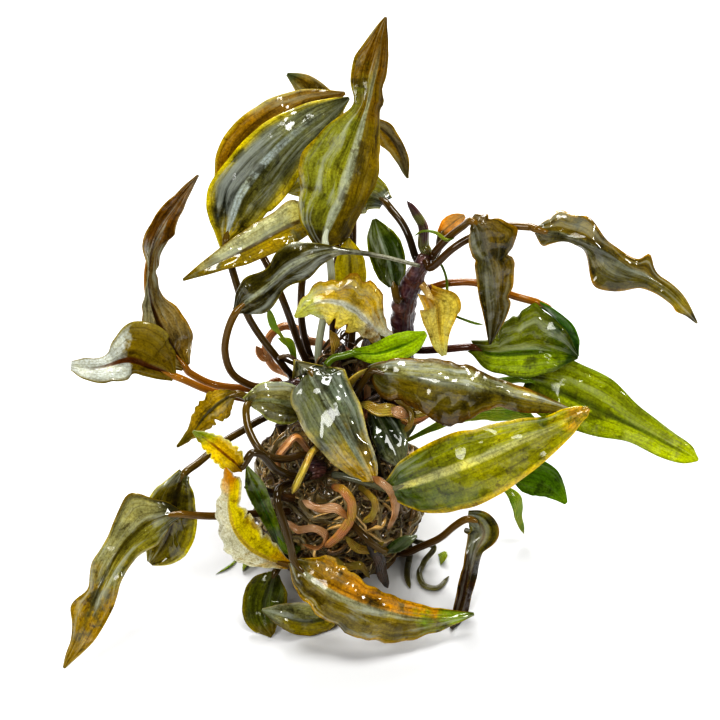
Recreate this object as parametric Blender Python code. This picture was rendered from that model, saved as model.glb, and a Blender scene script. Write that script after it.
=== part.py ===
"""A cryptocoryne clump, lifted from its pot and standing upright on its own root ball.

Every leaf is one solid: a round petiole that flattens into its blade. The leaves, the rhizomes
they grow from, the root ball and the thickest roots are all separate pieces.

Routes are written as sightings from the front of the plant. A sighting is (across, down, back):
a place in a square frame of 720 pixels, and the distance in mm behind the root ball's axis.
"""
import math

import bmesh
import bpy
from mathutils import Vector, noise
from mathutils.bvhtree import BVHTree

MM = 0.001

# Driving dimensions of the plant
BALL_RADIUS = 26.0 * MM
BALL_HEIGHT = 49.0 * MM
BALL_LUMPS = 1.6 * MM
BALL_FOOT_LEVEL = -0.75
BALL_SIDES = 22
BALL_RINGS = 12
BALL_SHOULDER = 0.8
LUMP_SCALE = 2.3
PETIOLE_RADIUS = 1.15 * MM
MIDRIB_HALF = 0.75 * MM
BLADE_HALF = 0.42 * MM
TIP_HALF = 0.3 * MM
RIB_FADE = 0.55
WEB_FADE = 0.4
WEB_SHARE = 0.35
JAG_DEPTH = 0.22
WAVE_LAG = 1.7
GAP = 0.32 * MM
FLOOR_CLEARANCE = 0.5 * MM

# The sighting frame: its scale at the axis, its tilt down, its distance and the point it centres on
PIXEL = 0.3 * MM
FRAME_MIDDLE = 360
SIGHT_TILT = math.radians(35)
SIGHT_DISTANCE = 600 * MM
SIGHT_CENTRE = Vector((7 * MM, 0, 72 * MM))
TOWARD = Vector((0, -math.cos(SIGHT_TILT), math.sin(SIGHT_TILT)))
UP_FRAME = Vector((0, math.sin(SIGHT_TILT), math.cos(SIGHT_TILT)))

# Sections along a leaf: a step is about this long, within a least and a greatest number
PETIOLE_STEP = 14 * MM
PETIOLE_STEPS = (3, 5)
BLADE_STEP = 7.5 * MM
BLADE_STEPS = (5, 9)
ROUND_SIDES = 8
COLLAR = 2.0 * MM

# Colours, as linear red, green and blue
OLIVE = (0.16, 0.15, 0.02)
YELLOW = (0.52, 0.40, 0.04)
GREY_GREEN = (0.10, 0.11, 0.06)
BROWN = (0.13, 0.07, 0.02)
BRIGHT_GREEN = (0.13, 0.27, 0.02)
DARK_GREEN = (0.03, 0.07, 0.01)
PALE = (0.62, 0.52, 0.26)
PURPLE = (0.07, 0.03, 0.04)
PEACH = (0.70, 0.36, 0.20)
ROOT_BROWN = (0.12, 0.08, 0.05)

# Each leaf: petiole sightings, then blade rows that add the roll in degrees and the two
# half widths in mm, left and right as seen by someone who walks from the base to the tip.
# The keel is the angle that each half rises from the midrib, and a wave is a height in mm
# and a number of waves along the margin.
LEAVES = {
    "leaf_top": dict(
        anchor="rhizome_left", colour=OLIVE, keel=-25, wave=(0.7, 2.5),
        petiole=[(316, 384, 11), (318, 355, 11), (322, 325, 12), (331, 285, 13), (330, 262, 13)],
        blade=[(325, 243, 14, 25, 1.5, 1.5), (328, 228, 17, 25, 7, 7.5), (341, 200, 22, 25, 12.5, 11),
               (350, 170, 27, 25, 14.5, 12.5), (358, 140, 32, 25, 11, 10.5), (367, 105, 38, 25, 5, 7),
               (376, 70, 44, 22, 7.5, 5), (381, 42, 47, 20, 4.5, 3), (386, 17, 50, 20, 0.4, 0.4)]),
    "leaf_grey_left": dict(
        anchor="rhizome_left", colour=GREY_GREEN, keel=-14, wave=(0.6, 2),
        petiole=[(292, 379, 10), (285, 368, 10), (250, 320, 11), (233, 272, 14), (228, 250, 17)],
        blade=[(226, 240, 18, 0, 1.6, 1.6), (229, 228, 20, 0, 6, 5), (234, 213, 23, 0, 9, 8),
               (241, 194, 27, 0, 10.2, 10.4), (262, 165, 33, 0, 9.5, 11.5), (290, 137, 40, 0, 8.5, 9),
               (320, 115, 47, 0, 5.4, 6.8), (349, 98, 52, 0, 0.5, 0.5)]),
    "leaf_back_orange": dict(
        anchor="rhizome_left", colour=YELLOW, keel=10, wave=(0.8, 2),
        petiole=[(312, 374, 16), (300, 347, 16), (283, 300, 18), (262, 255, 24), (240, 225, 29)],
        blade=[(233, 205, 32, 0, 2, 2), (235, 185, 35, 0, 6.5, 5), (247, 158, 40, 0, 9.2, 8),
               (272, 130, 47, 0, 8.4, 8), (305, 108, 53, 0, 6.2, 6), (345, 93, 58, 0, 0.5, 0.5)]),
    "leaf_pointed_left": dict(
        anchor="rhizome_left", colour=OLIVE, keel=18, wave=(0.5, 3),
        petiole=[(314, 369, 20), (304, 335, 20), (301, 300, 20), (306, 262, 24), (322, 232, 28)],
        blade=[(318, 219, 28, 0, 2, 2), (300, 222, 25, 0, 5, 7), (280, 231, 21, 0, 5.6, 6),
               (245, 250, 15, 0, 4.6, 5.2), (213, 265, 10, 0, 2.6, 3), (183, 280, 5, 0, 0.4, 0.4)]),
    "leaf_crossing": dict(
        anchor="rhizome_left", colour=GREY_GREEN, keel=-22, wave=(0.7, 2),
        petiole=[(284, 389, 4), (268, 388, 3), (250, 385, 2), (232, 373, 1), (225, 352, 1), (228, 330, 1)],
        blade=[(236, 312, 1, 0, 1.4, 1.4), (244, 304, 1.5, 0, 4.8, 4.6), (256, 295, 2, 0, 6.6, 6.4),
               (273, 281, 3, 0, 4.6, 4.4), (288, 268, 3.5, 0, 6.6, 5.8), (303, 260, 4, 0, 6.4, 5.8),
               (320, 254, 5, 0, 3.6, 3.4), (342, 251, 5.5, 0, 1.2, 1.2), (380, 256, 6.5, 0, 0.8, 0.8),
               (420, 266, 7, 0, 0.6, 0.6)]),
    "leaf_tall_left": dict(
        anchor="rhizome_left", colour=BROWN, keel=12, wave=(0.4, 2),
        petiole=[(280, 386, 9), (262, 388, 8), (240, 388, 6), (212, 384, 5), (190, 373, 4)],
        blade=[(185, 367, 4, 20, 1.8, 1.8), (174, 352, 5, 25, 7.2, 7), (160, 328, 7, 35, 8.6, 8.4),
               (150, 302, 9, 62, 6, 6), (147, 276, 10, 80, 5, 5), (151, 250, 12, 66, 6, 6),
               (160, 226, 13, 50, 4.8, 4.8), (177, 201, 15, 45, 2.8, 2.8),
               (198, 175, 17, 45, 0.4, 0.4)]),
    "leaf_curled_left": dict(
        anchor="rhizome_left", colour=OLIVE, keel=16, wave=(0.6, 2),
        petiole=[(264, 398, 4), (250, 399, 2.5), (232, 396, 0.5), (208, 390, -1.5), (182, 379, -3)],
        blade=[(174, 376, -3, -15, 1.6, 1.6), (161, 371, -4, -15, 2.6, 8.6),
               (148, 367, -5, -12, 3, 11.8), (138, 363, -6, -8, 3.6, 13.2), (129, 361, -7, 0, 5, 12.4),
               (120, 362, -8, 15, 6.6, 7), (110, 365, -8.5, 25, 6.8, 4.2), (97, 368, -9.5, 25, 6, 3.2),
               (84, 368, -10.5, 25, 4.6, 3), (71, 366, -11, 25, 1.6, 1.6)]),
    "leaf_small_left": dict(
        anchor="rhizome_left", colour=OLIVE, keel=-20, wave=(0.8, 3),
        petiole=[(282, 407, -1), (266, 406, -3.5), (246, 397, -6)],
        blade=[(236, 394, -6, 0, 1.2, 1.2), (222, 401, -8, 0, 4.8, 4.4), (206, 415, -11, 0, 4.4, 4.2),
               (193, 432, -13, 0, 2.2, 2.2), (177, 447, -15, 0, 0.4, 0.4)]),
    "leaf_long_lower": dict(
        anchor="root_ball", colour=OLIVE, keel=-22, wave=(1.2, 4),
        petiole=[(270, 513, -26), (250, 514, -28), (215, 516, -32), (190, 515, -35)],
        blade=[(181, 514, -36, 0, 1.4, 1.4), (165, 516, -38, 0, 5, 5.4), (143, 526, -41, 0, 7.6, 8.6),
               (121, 548, -46, 0, 5.6, 5.6), (104, 577, -51, 0, 5.6, 4.6), (92, 606, -55, 0, 6, 5),
               (80, 636, -58, 0, 4.8, 3.8), (64, 668, -60, 0, 0.5, 0.5)]),
    "leaf_spoon_left": dict(
        anchor="rhizome_left", colour=GREY_GREEN, keel=22, wave=(0.4, 2),
        petiole=[(292, 403, 3), (264, 418, -1), (240, 432, -8), (222, 443, -14), (198, 463, -22)],
        blade=[(184, 474, -27, 0, 2.2, 2.2), (179, 488, -28, 0, 5.4, 6.4), (174, 508, -29, 0, 8, 9),
               (170, 530, -30, 0, 8.6, 8.8), (161, 550, -32, 0, 6.5, 6.4),
               (150, 563, -34, 0, 1.2, 1.2)]),
    "leaf_kinked": dict(
        anchor="crown_front", colour=YELLOW, keel=15, wave=(0.6, 2),
        petiole=[(296, 481, -26), (277, 470, -30), (262, 455, -32), (252, 453, -33), (246, 461, -34)],
        blade=[(241, 467, -35, 0, 1.6, 1.6), (232, 460, -35.5, 0, 3.4, 3.8),
               (221, 451, -36, 0, 3.6, 4), (208, 441, -36, 0, 2.6, 3), (193, 431, -36, 0, 0.4, 0.4)]),
    "leaf_yellow_front": dict(
        anchor="root_ball", colour=YELLOW, keel=-20, wave=(0.9, 3),
        petiole=[(303, 563, -26), (298, 564, -28)],
        blade=[(290, 565, -30, 0, 1.6, 1.6), (272, 560, -34, 0, 3.4, 5), (251, 549, -37, 0, 6, 7),
               (235, 530, -39, 0, 5.8, 6), (229, 507, -40, 0, 3.8, 4.2), (229, 484, -41, 0, 2.4, 3.2),
               (226, 468, -41, 0, 0.5, 0.5)]),
    "leaf_narrow_green": dict(
        anchor="root_ball", colour=BRIGHT_GREEN, keel=10, wave=(0.2, 1),
        petiole=[(291, 556, -26), (286, 550, -28)],
        blade=[(281, 543, -29, 0, 1.4, 1.4), (272, 525, -30, 0, 2, 2), (263, 505, -30, 0, 2.6, 2.6),
               (254, 484, -29, 0, 2.8, 2.8), (247, 466, -28, 0, 0.4, 0.4)]),
    "leaf_centre_grey": dict(
        anchor="root_ball", colour=GREY_GREEN, keel=-18, wave=(0.5, 2),
        petiole=[(330, 441, -6), (325, 415, -2), (318, 388, 0)],
        blade=[(311, 373, -1, 0, 8.4, 8.2), (314, 379, -5, 0, 9.8, 9.8), (322, 392, -9, 0, 9.2, 10.8),
               (335, 415, -15, 0, 8.6, 11), (352, 445, -20, 0, 5.6, 8.6), (366, 469, -23, 0, 2.6, 4.4),
               (373, 481, -24, 0, 0.5, 0.5)]),
    "leaf_grey_lobe": dict(
        anchor="crown_front", colour=GREY_GREEN, keel=14, wave=(0.5, 2),
        petiole=[(305, 455, -18), (284, 459, -23), (264, 454, -24.5), (250, 433, -19), (246, 414, -13)],
        blade=[(248, 404, -9, 0, 2.5, 2), (260, 400, -6, 0, 5, 5), (278, 401, -4, 0, 6, 7),
               (295, 404, -2.5, 0, 5, 6), (310, 408, -1.5, 0, 1, 1)]),
    "leaf_dark_right": dict(
        anchor="root_ball", colour=OLIVE, keel=-24, wave=(1.0, 3),
        petiole=[(350, 438, -3), (350, 415, -3), (356, 394, -3), (366, 378, -4)],
        blade=[(373, 371, -5, 0, 1.8, 1.8), (385, 374, -7, 0, 4.8, 8), (410, 377, -10, 0, 6.4, 9.4),
               (438, 381, -13, 0, 7.2, 12.4), (462, 385, -14, 0, 6.8, 13.6),
               (480, 389, -15, 0, 5.6, 9.4), (502, 394, -15.5, 0, 4.4, 5), (532, 401, -16, 0, 3.4, 4),
               (573, 411, -16, 0, 0.5, 0.5)]),
    "leaf_big_front_right": dict(
        anchor="root_ball", colour=YELLOW, keel=-12, wave=(1.1, 3),
        petiole=[(338, 473, -21), (362, 481, -23), (383, 488, -24)],
        blade=[(390, 489, -25, 0, 2.4, 2.6), (408, 484, -27, 0, 7.6, 10), (445, 471, -31, 0, 9.6, 13),
               (480, 458, -33, 0, 10, 12.6), (515, 443, -34, 0, 6.6, 10), (555, 426, -35, 0, 4.6, 6),
               (580, 414, -34.5, 0, 2.6, 2.6), (589, 408, -34, 0, 0.6, 0.6)]),
    "leaf_big_right": dict(
        anchor="rhizome_right", colour=BRIGHT_GREEN, keel=-14, wave=(0.5, 2),
        petiole=[(404, 398, 10), (440, 394, 8), (485, 384, 5), (518, 379, 1)],
        blade=[(528, 380, 0, 0, 3.4, 3.2), (536, 383, -1, 0, 7.2, 6.4), (549, 388, -2, 0, 9.8, 8.8),
               (567, 395, -4, 0, 11, 9.6), (600, 411, -7, 0, 10.2, 8.2), (635, 427, -10, 0, 6.2, 5),
               (668, 444, -12, 0, 4, 4.8), (688, 455, -13, 0, 3, 3.2), (698, 460, -13, 0, 0.5, 0.5)]),
    "leaf_green_middle": dict(
        anchor="rhizome_right", colour=BRIGHT_GREEN, keel=14, wave=(0.6, 2),
        petiole=[(424, 352, 11), (446, 349, 8), (468, 347, 6)],
        blade=[(475, 348, 6, 0, 1.8, 1.8), (490, 354, 5, 0, 6, 5), (510, 354, 4, 0, 10.5, 6.8),
               (535, 352, 3, 0, 13.4, 7.6), (557, 353, 2, 0, 9, 5.6), (578, 357, 1, 0, 0.6, 0.6)]),
    "leaf_edge_on": dict(
        anchor="rhizome_right", colour=BRIGHT_GREEN, keel=0, wave=(0.2, 1),
        petiole=[(432, 289, 14), (449, 283, 13), (477, 283, 12), (514, 296, 11), (532, 301, 10)],
        blade=[(538, 303, 10, 60, 1.2, 1.2), (551, 313, 9, 70, 4.4, 1.5), (564, 329, 8, 70, 5, 1.5),
               (573, 343, 8, 70, 3, 1.5), (578, 356, 7, 70, 0.4, 0.4)]),
    "leaf_hanging_brown": dict(
        anchor="rhizome_right", colour=BROWN, keel=-15, wave=(0.9, 3),
        petiole=[(437, 252, 14), (447, 239, 13), (462, 227, 9)],
        blade=[(472, 221, 4, 0, 2.4, 2), (480, 228, 2, 0, 6.6, 3.6), (486, 245, 1, 0, 8.6, 4.6),
               (492, 265, 0, 0, 6.6, 4.8), (495, 287, 0, 0, 6, 5.4), (496, 312, 0.5, 0, 4, 4.4),
               (490, 344, 1, 0, 0.4, 0.4)]),
    "leaf_far_right": dict(
        anchor="rhizome_right", colour=BROWN, keel=-30, wave=(1.1, 4),
        petiole=[(432, 270, 8), (451, 250, 7), (468, 239, 8), (500, 227, 9), (530, 227, 7.5)],
        blade=[(536, 229, 6, 0, 1.6, 1.6), (546, 232, 5.5, 4, 4.4, 4), (562, 235, 5, 8, 6.6, 3),
               (584, 242, 3, 25, 7.6, 3.6), (606, 253, 1, 0, 5.2, 8), (628, 268, -1, -8, 4.2, 7.4),
               (648, 277, -2, 0, 5, 4.4), (668, 290, -3, 0, 2.8, 3.2), (684, 306, -5, 0, 2.2, 2.2),
               (697, 323, -6, 0, 0.4, 0.4)]),
    "leaf_bottom_front": dict(
        anchor="root_ball", colour=YELLOW, keel=-18, wave=(1.0, 4),
        petiole=[(287, 482, -25), (280, 488, -31), (277, 497, -35), (279, 508, -37), (285, 527, -39),
                 (291, 548, -41)],
        blade=[(294, 561, -42, 0, 2, 2), (309, 577, -45, 0, 8.4, 6.4), (335, 595, -49, 0, 8.6, 8.6),
               (370, 608, -50, 0, 6.6, 10.4), (402, 616, -49, 0, 5, 9.2), (435, 619, -46, 0, 3.6, 5),
               (474, 614, -42, 0, 0.5, 0.5)]),
    "leaf_dark_lower": dict(
        anchor="root_ball", colour=DARK_GREEN, keel=-10, wave=(0.4, 2),
        petiole=[(284, 558, -24), (279, 566, -27)],
        blade=[(275, 573, -30, 0, 1.8, 1.8), (269, 586, -33, 0, 6.2, 6), (264, 603, -37, 0, 6.8, 6.6),
               (265, 621, -41, 0, 5.6, 5.6), (272, 636, -44, 0, 0.8, 0.8)]),
    "leaf_lower_front": dict(
        anchor="root_ball", colour=GREY_GREEN, keel=-10, wave=(0.4, 2),
        petiole=[(312, 572, -25), (330, 586, -30), (338, 600, -35)],
        blade=[(337, 612, -38, 0, 2, 2), (325, 619, -40, 0, 4, 4.6), (305, 621, -42, 0, 4.6, 5.4),
               (284, 617, -43, 0, 3.4, 4.2), (262, 610, -44, 0, 0.5, 0.5)]),
    "leaf_twisted_right": dict(
        anchor="root_ball", colour=OLIVE, keel=-18, wave=(0.6, 2),
        petiole=[(402, 553, -14), (420, 547, -17), (440, 538, -20), (456, 525, -22)],
        blade=[(468, 519, -23, 0, 2.6, 2.2), (480, 524, -24, 0, 4.4, 5), (484, 535, -25, 0, 5, 6),
               (475, 552, -27, -15, 3, 3.2), (470, 572, -29, -35, 3.4, 3.2),
               (466, 592, -31.5, -20, 2.8, 2.8), (460, 614, -35, 0, 2.4, 2.4),
               (451, 641, -41, 0, 0.5, 0.5)]),
    "leaf_young_green": dict(
        anchor="root_ball", colour=BRIGHT_GREEN, keel=14, wave=(0.2, 2),
        petiole=[(342, 432, 2), (338, 400, 4), (334, 378, 3), (326, 368, 3), (332, 359, 4), (346, 355, 4)],
        blade=[(354, 353, 4, 0, 1.4, 1.4), (374, 354, 3.5, 0, 3.2, 3.2), (396, 348, 3, 0, 4.3, 4.3),
               (413, 341, 2.5, 0, 3.6, 3.6), (426, 333, 2, 0, 0.9, 0.9)]),
    "leaf_green_tip": dict(
        anchor="root_ball", colour=BRIGHT_GREEN, keel=-10, wave=(0.3, 2),
        petiole=[(424, 498, -14), (465, 489, -18), (500, 478, -21)],
        blade=[(510, 475, -21, 0, 1.6, 1.6), (524, 476, -22, 0, 5, 4.8), (543, 481, -23, 0, 5.4, 5),
               (556, 491, -24, 0, 3.4, 3.2), (566, 503, -24, 0, 0.6, 0.6)]),
    "leaf_pale_old": dict(
        anchor="rhizome_right", colour=PALE, keel=-8, wave=(0.7, 3), jagged=True,
        petiole=[(401, 342, 10), (394, 344, 8.5)],
        blade=[(387, 342, 8, 0, 2, 2.6), (376, 331, 7.5, 0, 4, 5), (362, 317, 7, 0, 6.4, 9),
               (346, 306, 6.5, 0, 7.2, 9.8), (328, 301, 6.5, 0, 6.8, 6.8), (311, 305, 6.5, 0, 4.2, 4),
               (295, 317, 6.5, 0, 0.5, 0.5)]),
    "leaf_pale_sheath": dict(
        anchor="rhizome_right", colour=PALE, keel=16, wave=(0.5, 2),
        petiole=[(426, 290, 10.5), (428, 293, 9)],
        blade=[(430, 296, 8, 0, 2.6, 2.6), (437, 304, 7.5, 0, 6.8, 5.6), (438, 314, 7, 0, 6.2, 5.4),
               (439, 328, 6.5, 0, 3.8, 4), (441, 343, 6, 0, 2.2, 2.8), (444, 355, 6, 0, 0.8, 0.8)]),
    "leaf_dark_centre": dict(
        anchor="root_ball", colour=DARK_GREEN, keel=-16, wave=(0.5, 2),
        petiole=[(372, 432, -3), (371, 418, -5)],
        blade=[(373, 409, -7, 0, 1.8, 1.8), (379, 419, -10, 0, 5, 4), (387, 434, -14, 0, 5.6, 5),
               (395, 451, -18, 0, 4.4, 5), (402, 468, -21, 0, 0.6, 0.6)]),
    "leaf_tip_behind": dict(
        anchor="rhizome_left", colour=OLIVE, keel=10, wave=(0.4, 2),
        petiole=[(331, 371, 21), (334, 300, 27), (339, 240, 37), (341, 190, 49), (338, 150, 58)],
        blade=[(334, 135, 61, 0, 1.8, 1.8), (326, 115, 63, 0, 6, 6), (312, 93, 65, 0, 4.6, 4.6),
               (300, 82, 66, 0, 3, 3), (287, 74, 67, 0, 0.5, 0.5)]),
    "leaf_curling_behind": dict(
        anchor="rhizome_left", colour=BROWN, keel=14, wave=(0.3, 2),
        petiole=[(346, 376, 22), (351, 300, 29), (353, 240, 38), (353, 190, 46), (355, 150, 51)],
        blade=[(362, 133, 52, 45, 2, 2), (377, 126, 52, 45, 4.6, 4.6), (392, 138, 51, 45, 4, 4.4),
               (401, 156, 50, 45, 3, 3.6), (408, 178, 49, 45, 0.4, 0.4)]),
    "leaf_knee": dict(
        anchor="rhizome_right", colour=YELLOW, keel=-10, wave=(0.6, 2),
        petiole=[(413, 252, 19), (409, 237, 20), (402, 223, 23), (391, 209, 27)],
        blade=[(385, 202, 30, 0, 2.6, 2.6), (374, 195, 35, 0, 6, 5), (350, 186, 42, 0, 8, 7.6),
               (322, 183, 47, 0, 8, 8), (303, 186, 49, 0, 5, 5), (288, 192, 51, 0, 0.6, 0.6)]),
    "leaf_dark_upright": dict(
        anchor="rhizome_right", colour=DARK_GREEN, keel=14, wave=(0.4, 2),
        petiole=[(398, 300, 12), (396, 293, 13)],
        blade=[(394, 286, 13.5, 0, 1.8, 1.8), (391, 273, 14.5, 0, 4.4, 4.4), (387, 255, 16, 0, 5.4, 5.4),
               (380, 236, 18, 0, 4.4, 4.4), (374, 219, 20, 0, 0.7, 0.7)]),
    "leaf_yellow_behind": dict(
        anchor="rhizome_left", colour=YELLOW, keel=8, wave=(0.3, 2),
        petiole=[(352, 366, 17), (352, 335, 17.5), (351, 306, 19)],
        blade=[(351, 296, 20, 0, 1.8, 1.8), (351, 284, 20.5, 0, 4.4, 4.4), (350, 266, 21, 0, 4.8, 4.8),
               (349, 250, 21.5, 0, 3.2, 3.2), (348, 238, 22, 0, 0.5, 0.5)]),
    "leaf_withered_stub": dict(
        anchor="rhizome_right", colour=YELLOW, keel=20, wave=(0.4, 2),
        petiole=[(431, 262, 19), (438, 250, 21), (440, 240, 21)],
        blade=[(442, 233, 21, 0, 1.6, 1.6), (449, 226, 21.5, 0, 2.8, 2.8), (457, 220, 21.5, 0, 2.4, 2.4),
               (465, 216, 21.5, 0, 0.6, 0.6)]),
    "leaf_small_dark": dict(
        anchor="root_ball", colour=DARK_GREEN, keel=10, wave=(0.1, 1),
        petiole=[(352, 527, -29), (368, 540, -29), (380, 549, -28)],
        blade=[(386, 550, -27, 0, 1, 1), (395, 547, -27, 0, 1.9, 1.9), (406, 541, -27, 0, 1.8, 1.8),
               (417, 536, -27, 0, 0.4, 0.4)]),
    "leaf_back_low_left": dict(
        anchor="root_ball", colour=OLIVE, keel=16, wave=(0.5, 2),
        petiole=[(326, 399, 24), (320, 372, 33), (312, 371, 38)],
        blade=[(306, 381, 41, 180, 1.6, 1.6), (303, 399, 43, 180, 5, 5), (300, 418, 45, 180, 6, 6),
               (301, 431, 48, 180, 4, 4), (304, 438, 52, 180, 0.5, 0.5)]),
    "leaf_back_low_right": dict(
        anchor="root_ball", colour=DARK_GREEN, keel=18, wave=(0.5, 2),
        petiole=[(382, 413, 22), (393, 386, 31), (400, 386, 36)],
        blade=[(403, 399, 39, 180, 1.6, 1.6), (403, 410, 40, 180, 4.6, 4.6), (401, 426, 41, 180, 5.4, 5.4),
               (398, 438, 43, 180, 3.4, 3.4), (393, 447, 46, 180, 0.5, 0.5)]),
}

# Bare shoots and cut stalks: sightings, then the radius in mm at each
STALKS = {
    "shoot_spear": dict(
        anchor="rhizome_right", colour=PURPLE,
        route=[(427, 246, 17), (427, 238, 17), (423, 226, 16.5), (415, 212, 16), (407, 201, 15.5)],
        radii=(1.7, 1.6, 1.5, 1.25, 0.5)),
    "stalk_cut_front": dict(
        anchor="root_ball", colour=YELLOW,
        route=[(321, 440, -14), (313, 451, -19), (303, 471, -27), (292, 494, -31)],
        radii=(1.1, 1.1, 1.15, 1.2)),
    "stalk_cut_left": dict(
        anchor="root_ball", colour=BROWN,
        route=[(284, 497, -23), (264, 491, -24.5), (244, 487, -25)], radii=(1.3, 1.2, 1.1)),
}

RHIZOMES = {
    "rhizome_left": dict(
        colour=PURPLE, route=[(270, 396, 5), (290, 391, 6), (312, 391, 9), (334, 390, 14), (352, 392, 17)],
        radii=(2.6, 4.2, 4.8, 4.4, 2.8)),
    "rhizome_right": dict(
        colour=PURPLE, route=[(402, 408, 13), (399, 370, 15), (402, 330, 16), (407, 296, 16),
                              (417, 274, 14), (427, 256, 12.5)],
        radii=(4.4, 4.2, 3.8, 3.6, 3.2, 2.4)),
    "crown_front": dict(
        colour=PURPLE, route=[(326, 470, -15), (312, 468, -18), (303, 472, -21)], radii=(2.4, 3.2, 2.4)),
}

# The thickest roots, the ones that read as separate straps
ROOTS = {
    "root_pink_loop": dict(
        anchor="rhizome_left",
        route=[(298, 377, 18), (286, 373, 21), (273, 366, 23), (266, 351, 25), (271, 335, 26),
               (286, 326, 26.5), (302, 333, 26), (311, 347, 25.5)],
        radii=(1.0, 1.2, 1.3, 1.35, 1.35, 1.3, 1.2, 0.8)),
    "root_pink_strap": dict(
        anchor="root_ball",
        route=[(368, 404, 4), (367, 386, 7), (360, 367, 11), (346, 351, 14), (327, 341, 15.5)],
        radii=(1.0, 1.2, 1.3, 1.2, 0.9)),
    "root_orange_strap": dict(
        anchor="root_ball",
        route=[(364, 409, -1), (380, 410, 0), (395, 416, 0), (411, 422, -1), (432, 415, -2)],
        radii=(0.9, 1.1, 1.2, 1.2, 0.5)),
    "root_orange_front": dict(
        anchor="root_ball",
        route=[(331, 489, -26), (343, 490, -28.5), (351, 502, -30), (351, 516, -30.5), (344, 530, -30.5),
               (334, 540, -30), (325, 547, -29)],
        radii=(1.0, 1.4, 1.5, 1.5, 1.5, 1.4, 1.1)),
    "root_yellow_front": dict(
        anchor="root_ball",
        route=[(369, 492, -27), (374, 500, -29), (375, 508, -29.5), (371, 517, -29.5), (362, 522, -29)],
        radii=(0.9, 1.1, 1.1, 1.1, 0.9)),
    "root_peach_left": dict(
        anchor="crown_front",
        route=[(306, 430, -12), (296, 437, -15), (285, 447, -18), (277, 459, -20), (280, 470, -19)],
        radii=(0.9, 1.1, 1.2, 1.1, 0.9)),
    "root_floor_inner": dict(
        anchor="root_ball",
        route=[(414, 550, -8), (408, 566, -11), (407, 584, -17), (410, 597, -22)],
        radii=(0.9, 1.0, 0.9, 0.5)),
    "root_floor_outer": dict(
        anchor="root_ball",
        route=[(420, 545, -6), (434, 547, -8), (424, 562, -11), (419, 580, -15.5), (424, 595, -21),
               (437, 598, -22), (449, 583, -16)],
        radii=(0.8, 0.9, 0.9, 0.9, 0.9, 0.8, 0.5)),
}


def clear_scene():
    for obj in list(bpy.data.objects):
        bpy.data.objects.remove(obj, do_unlink=True)


def sighted(across, down, back):
    """Turn a sighting into the point it names, in metres."""
    eye = SIGHT_CENTRE + TOWARD * SIGHT_DISTANCE
    right = (across - FRAME_MIDDLE) * PIXEL
    up = (FRAME_MIDDLE - down) * PIXEL
    ray = Vector((right, 0, 0)) + UP_FRAME * up - TOWARD * SIGHT_DISTANCE
    reach = (back * MM - eye.y) / ray.y
    return eye + ray * reach


def smooth_rows(rows, spots):
    """Read a smooth curve through rows of numbers at the given spots, from 0 to the last row."""
    lengths = [0.0]
    for before, after in zip(rows, rows[1:]):
        step = (Vector(after[:3]) - Vector(before[:3])).length
        lengths.append(lengths[-1] + max(step, 0.1 * MM))
    slopes = []
    for i in range(len(rows)):
        low, high = max(i - 1, 0), min(i + 1, len(rows) - 1)
        span = lengths[high] - lengths[low]
        slopes.append([(b - a) / span for a, b in zip(rows[low], rows[high])])
    result = []
    for spot in spots:
        i = min(int(spot), len(rows) - 2)
        t = spot - i
        span = lengths[i + 1] - lengths[i]
        h00, h10 = 2 * t**3 - 3 * t**2 + 1, t**3 - 2 * t**2 + t
        h01, h11 = 3 * t**2 - 2 * t**3, t**3 - t**2
        result.append([h00 * a + h10 * span * ma + h01 * b + h11 * span * mb for a, b, ma, mb
                       in zip(rows[i], rows[i + 1], slopes[i], slopes[i + 1])])
    return result


def even_spots(count, first, last):
    return [first + (last - first) * i / count for i in range(count + 1)]


def steps_for(rows, step, limits):
    """How many sections a stretch of route takes, from its length."""
    length = sum((Vector(b[:3]) - Vector(a[:3])).length for a, b in zip(rows, rows[1:]))
    return min(max(round(length / step), limits[0]), limits[1])


def outside(carriers, point, distance):
    """The point itself, or moved straight out until it is this far from what carries the leaves."""
    for tree in carriers:
        place, normal, _, _ = tree.find_nearest(point)
        offset = point - place
        if offset.dot(normal) < -0.5 * offset.length:
            point = place + normal * distance
        elif offset.length < distance:
            point = place + offset.normalized() * distance
    return point


def planted(rows, tree):
    """Give a route a foot that stands square on its anchor, a hair clear of the surface."""
    place, normal, _, _ = tree.find_nearest(Vector(rows[0][:3]))
    rest = rows[0][3:]
    kept = [row for row in rows[1:] if (Vector(row[:3]) - place).length > 2 * COLLAR]
    foot = [[*(place + normal * height), *rest] for height in (GAP, COLLAR)]
    return foot + kept


def tangents(points):
    last = len(points) - 1
    return [(points[min(i + 1, last)] - points[max(i - 1, 0)]).normalized() for i in range(last + 1)]


def facing_side(tangent):
    """The left hand of someone who walks along the tangent with the viewer overhead."""
    return TOWARD.cross(tangent).normalized()


def round_section(centre, side, normal, radius):
    angles = [2 * math.pi * i / ROUND_SIDES for i in range(ROUND_SIDES)]
    return [centre + side * math.cos(a) * radius + normal * math.sin(a) * radius for a in angles]


def blade_section(centre, left_way, right_way, normal, widths, halves, lifts):
    """Eight points: an edge, the upper face, the other edge and the lower face."""
    left, right = widths
    rib, web = halves
    lift_left, lift_right = lifts
    left_edge = centre + left_way * left + normal * lift_left
    right_edge = centre + right_way * right + normal * lift_right
    left_mid = centre + left_way * left * 0.5 + normal * lift_left * 0.3
    right_mid = centre + right_way * right * 0.5 + normal * lift_right * 0.3
    return [left_edge, left_mid + normal * web, centre + normal * rib, right_mid + normal * web,
            right_edge, right_mid - normal * web, centre - normal * rib, left_mid - normal * web]


def keep_above_floor(section):
    for point in section:
        point.z = max(point.z, FLOOR_CLEARANCE)
    return section


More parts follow.
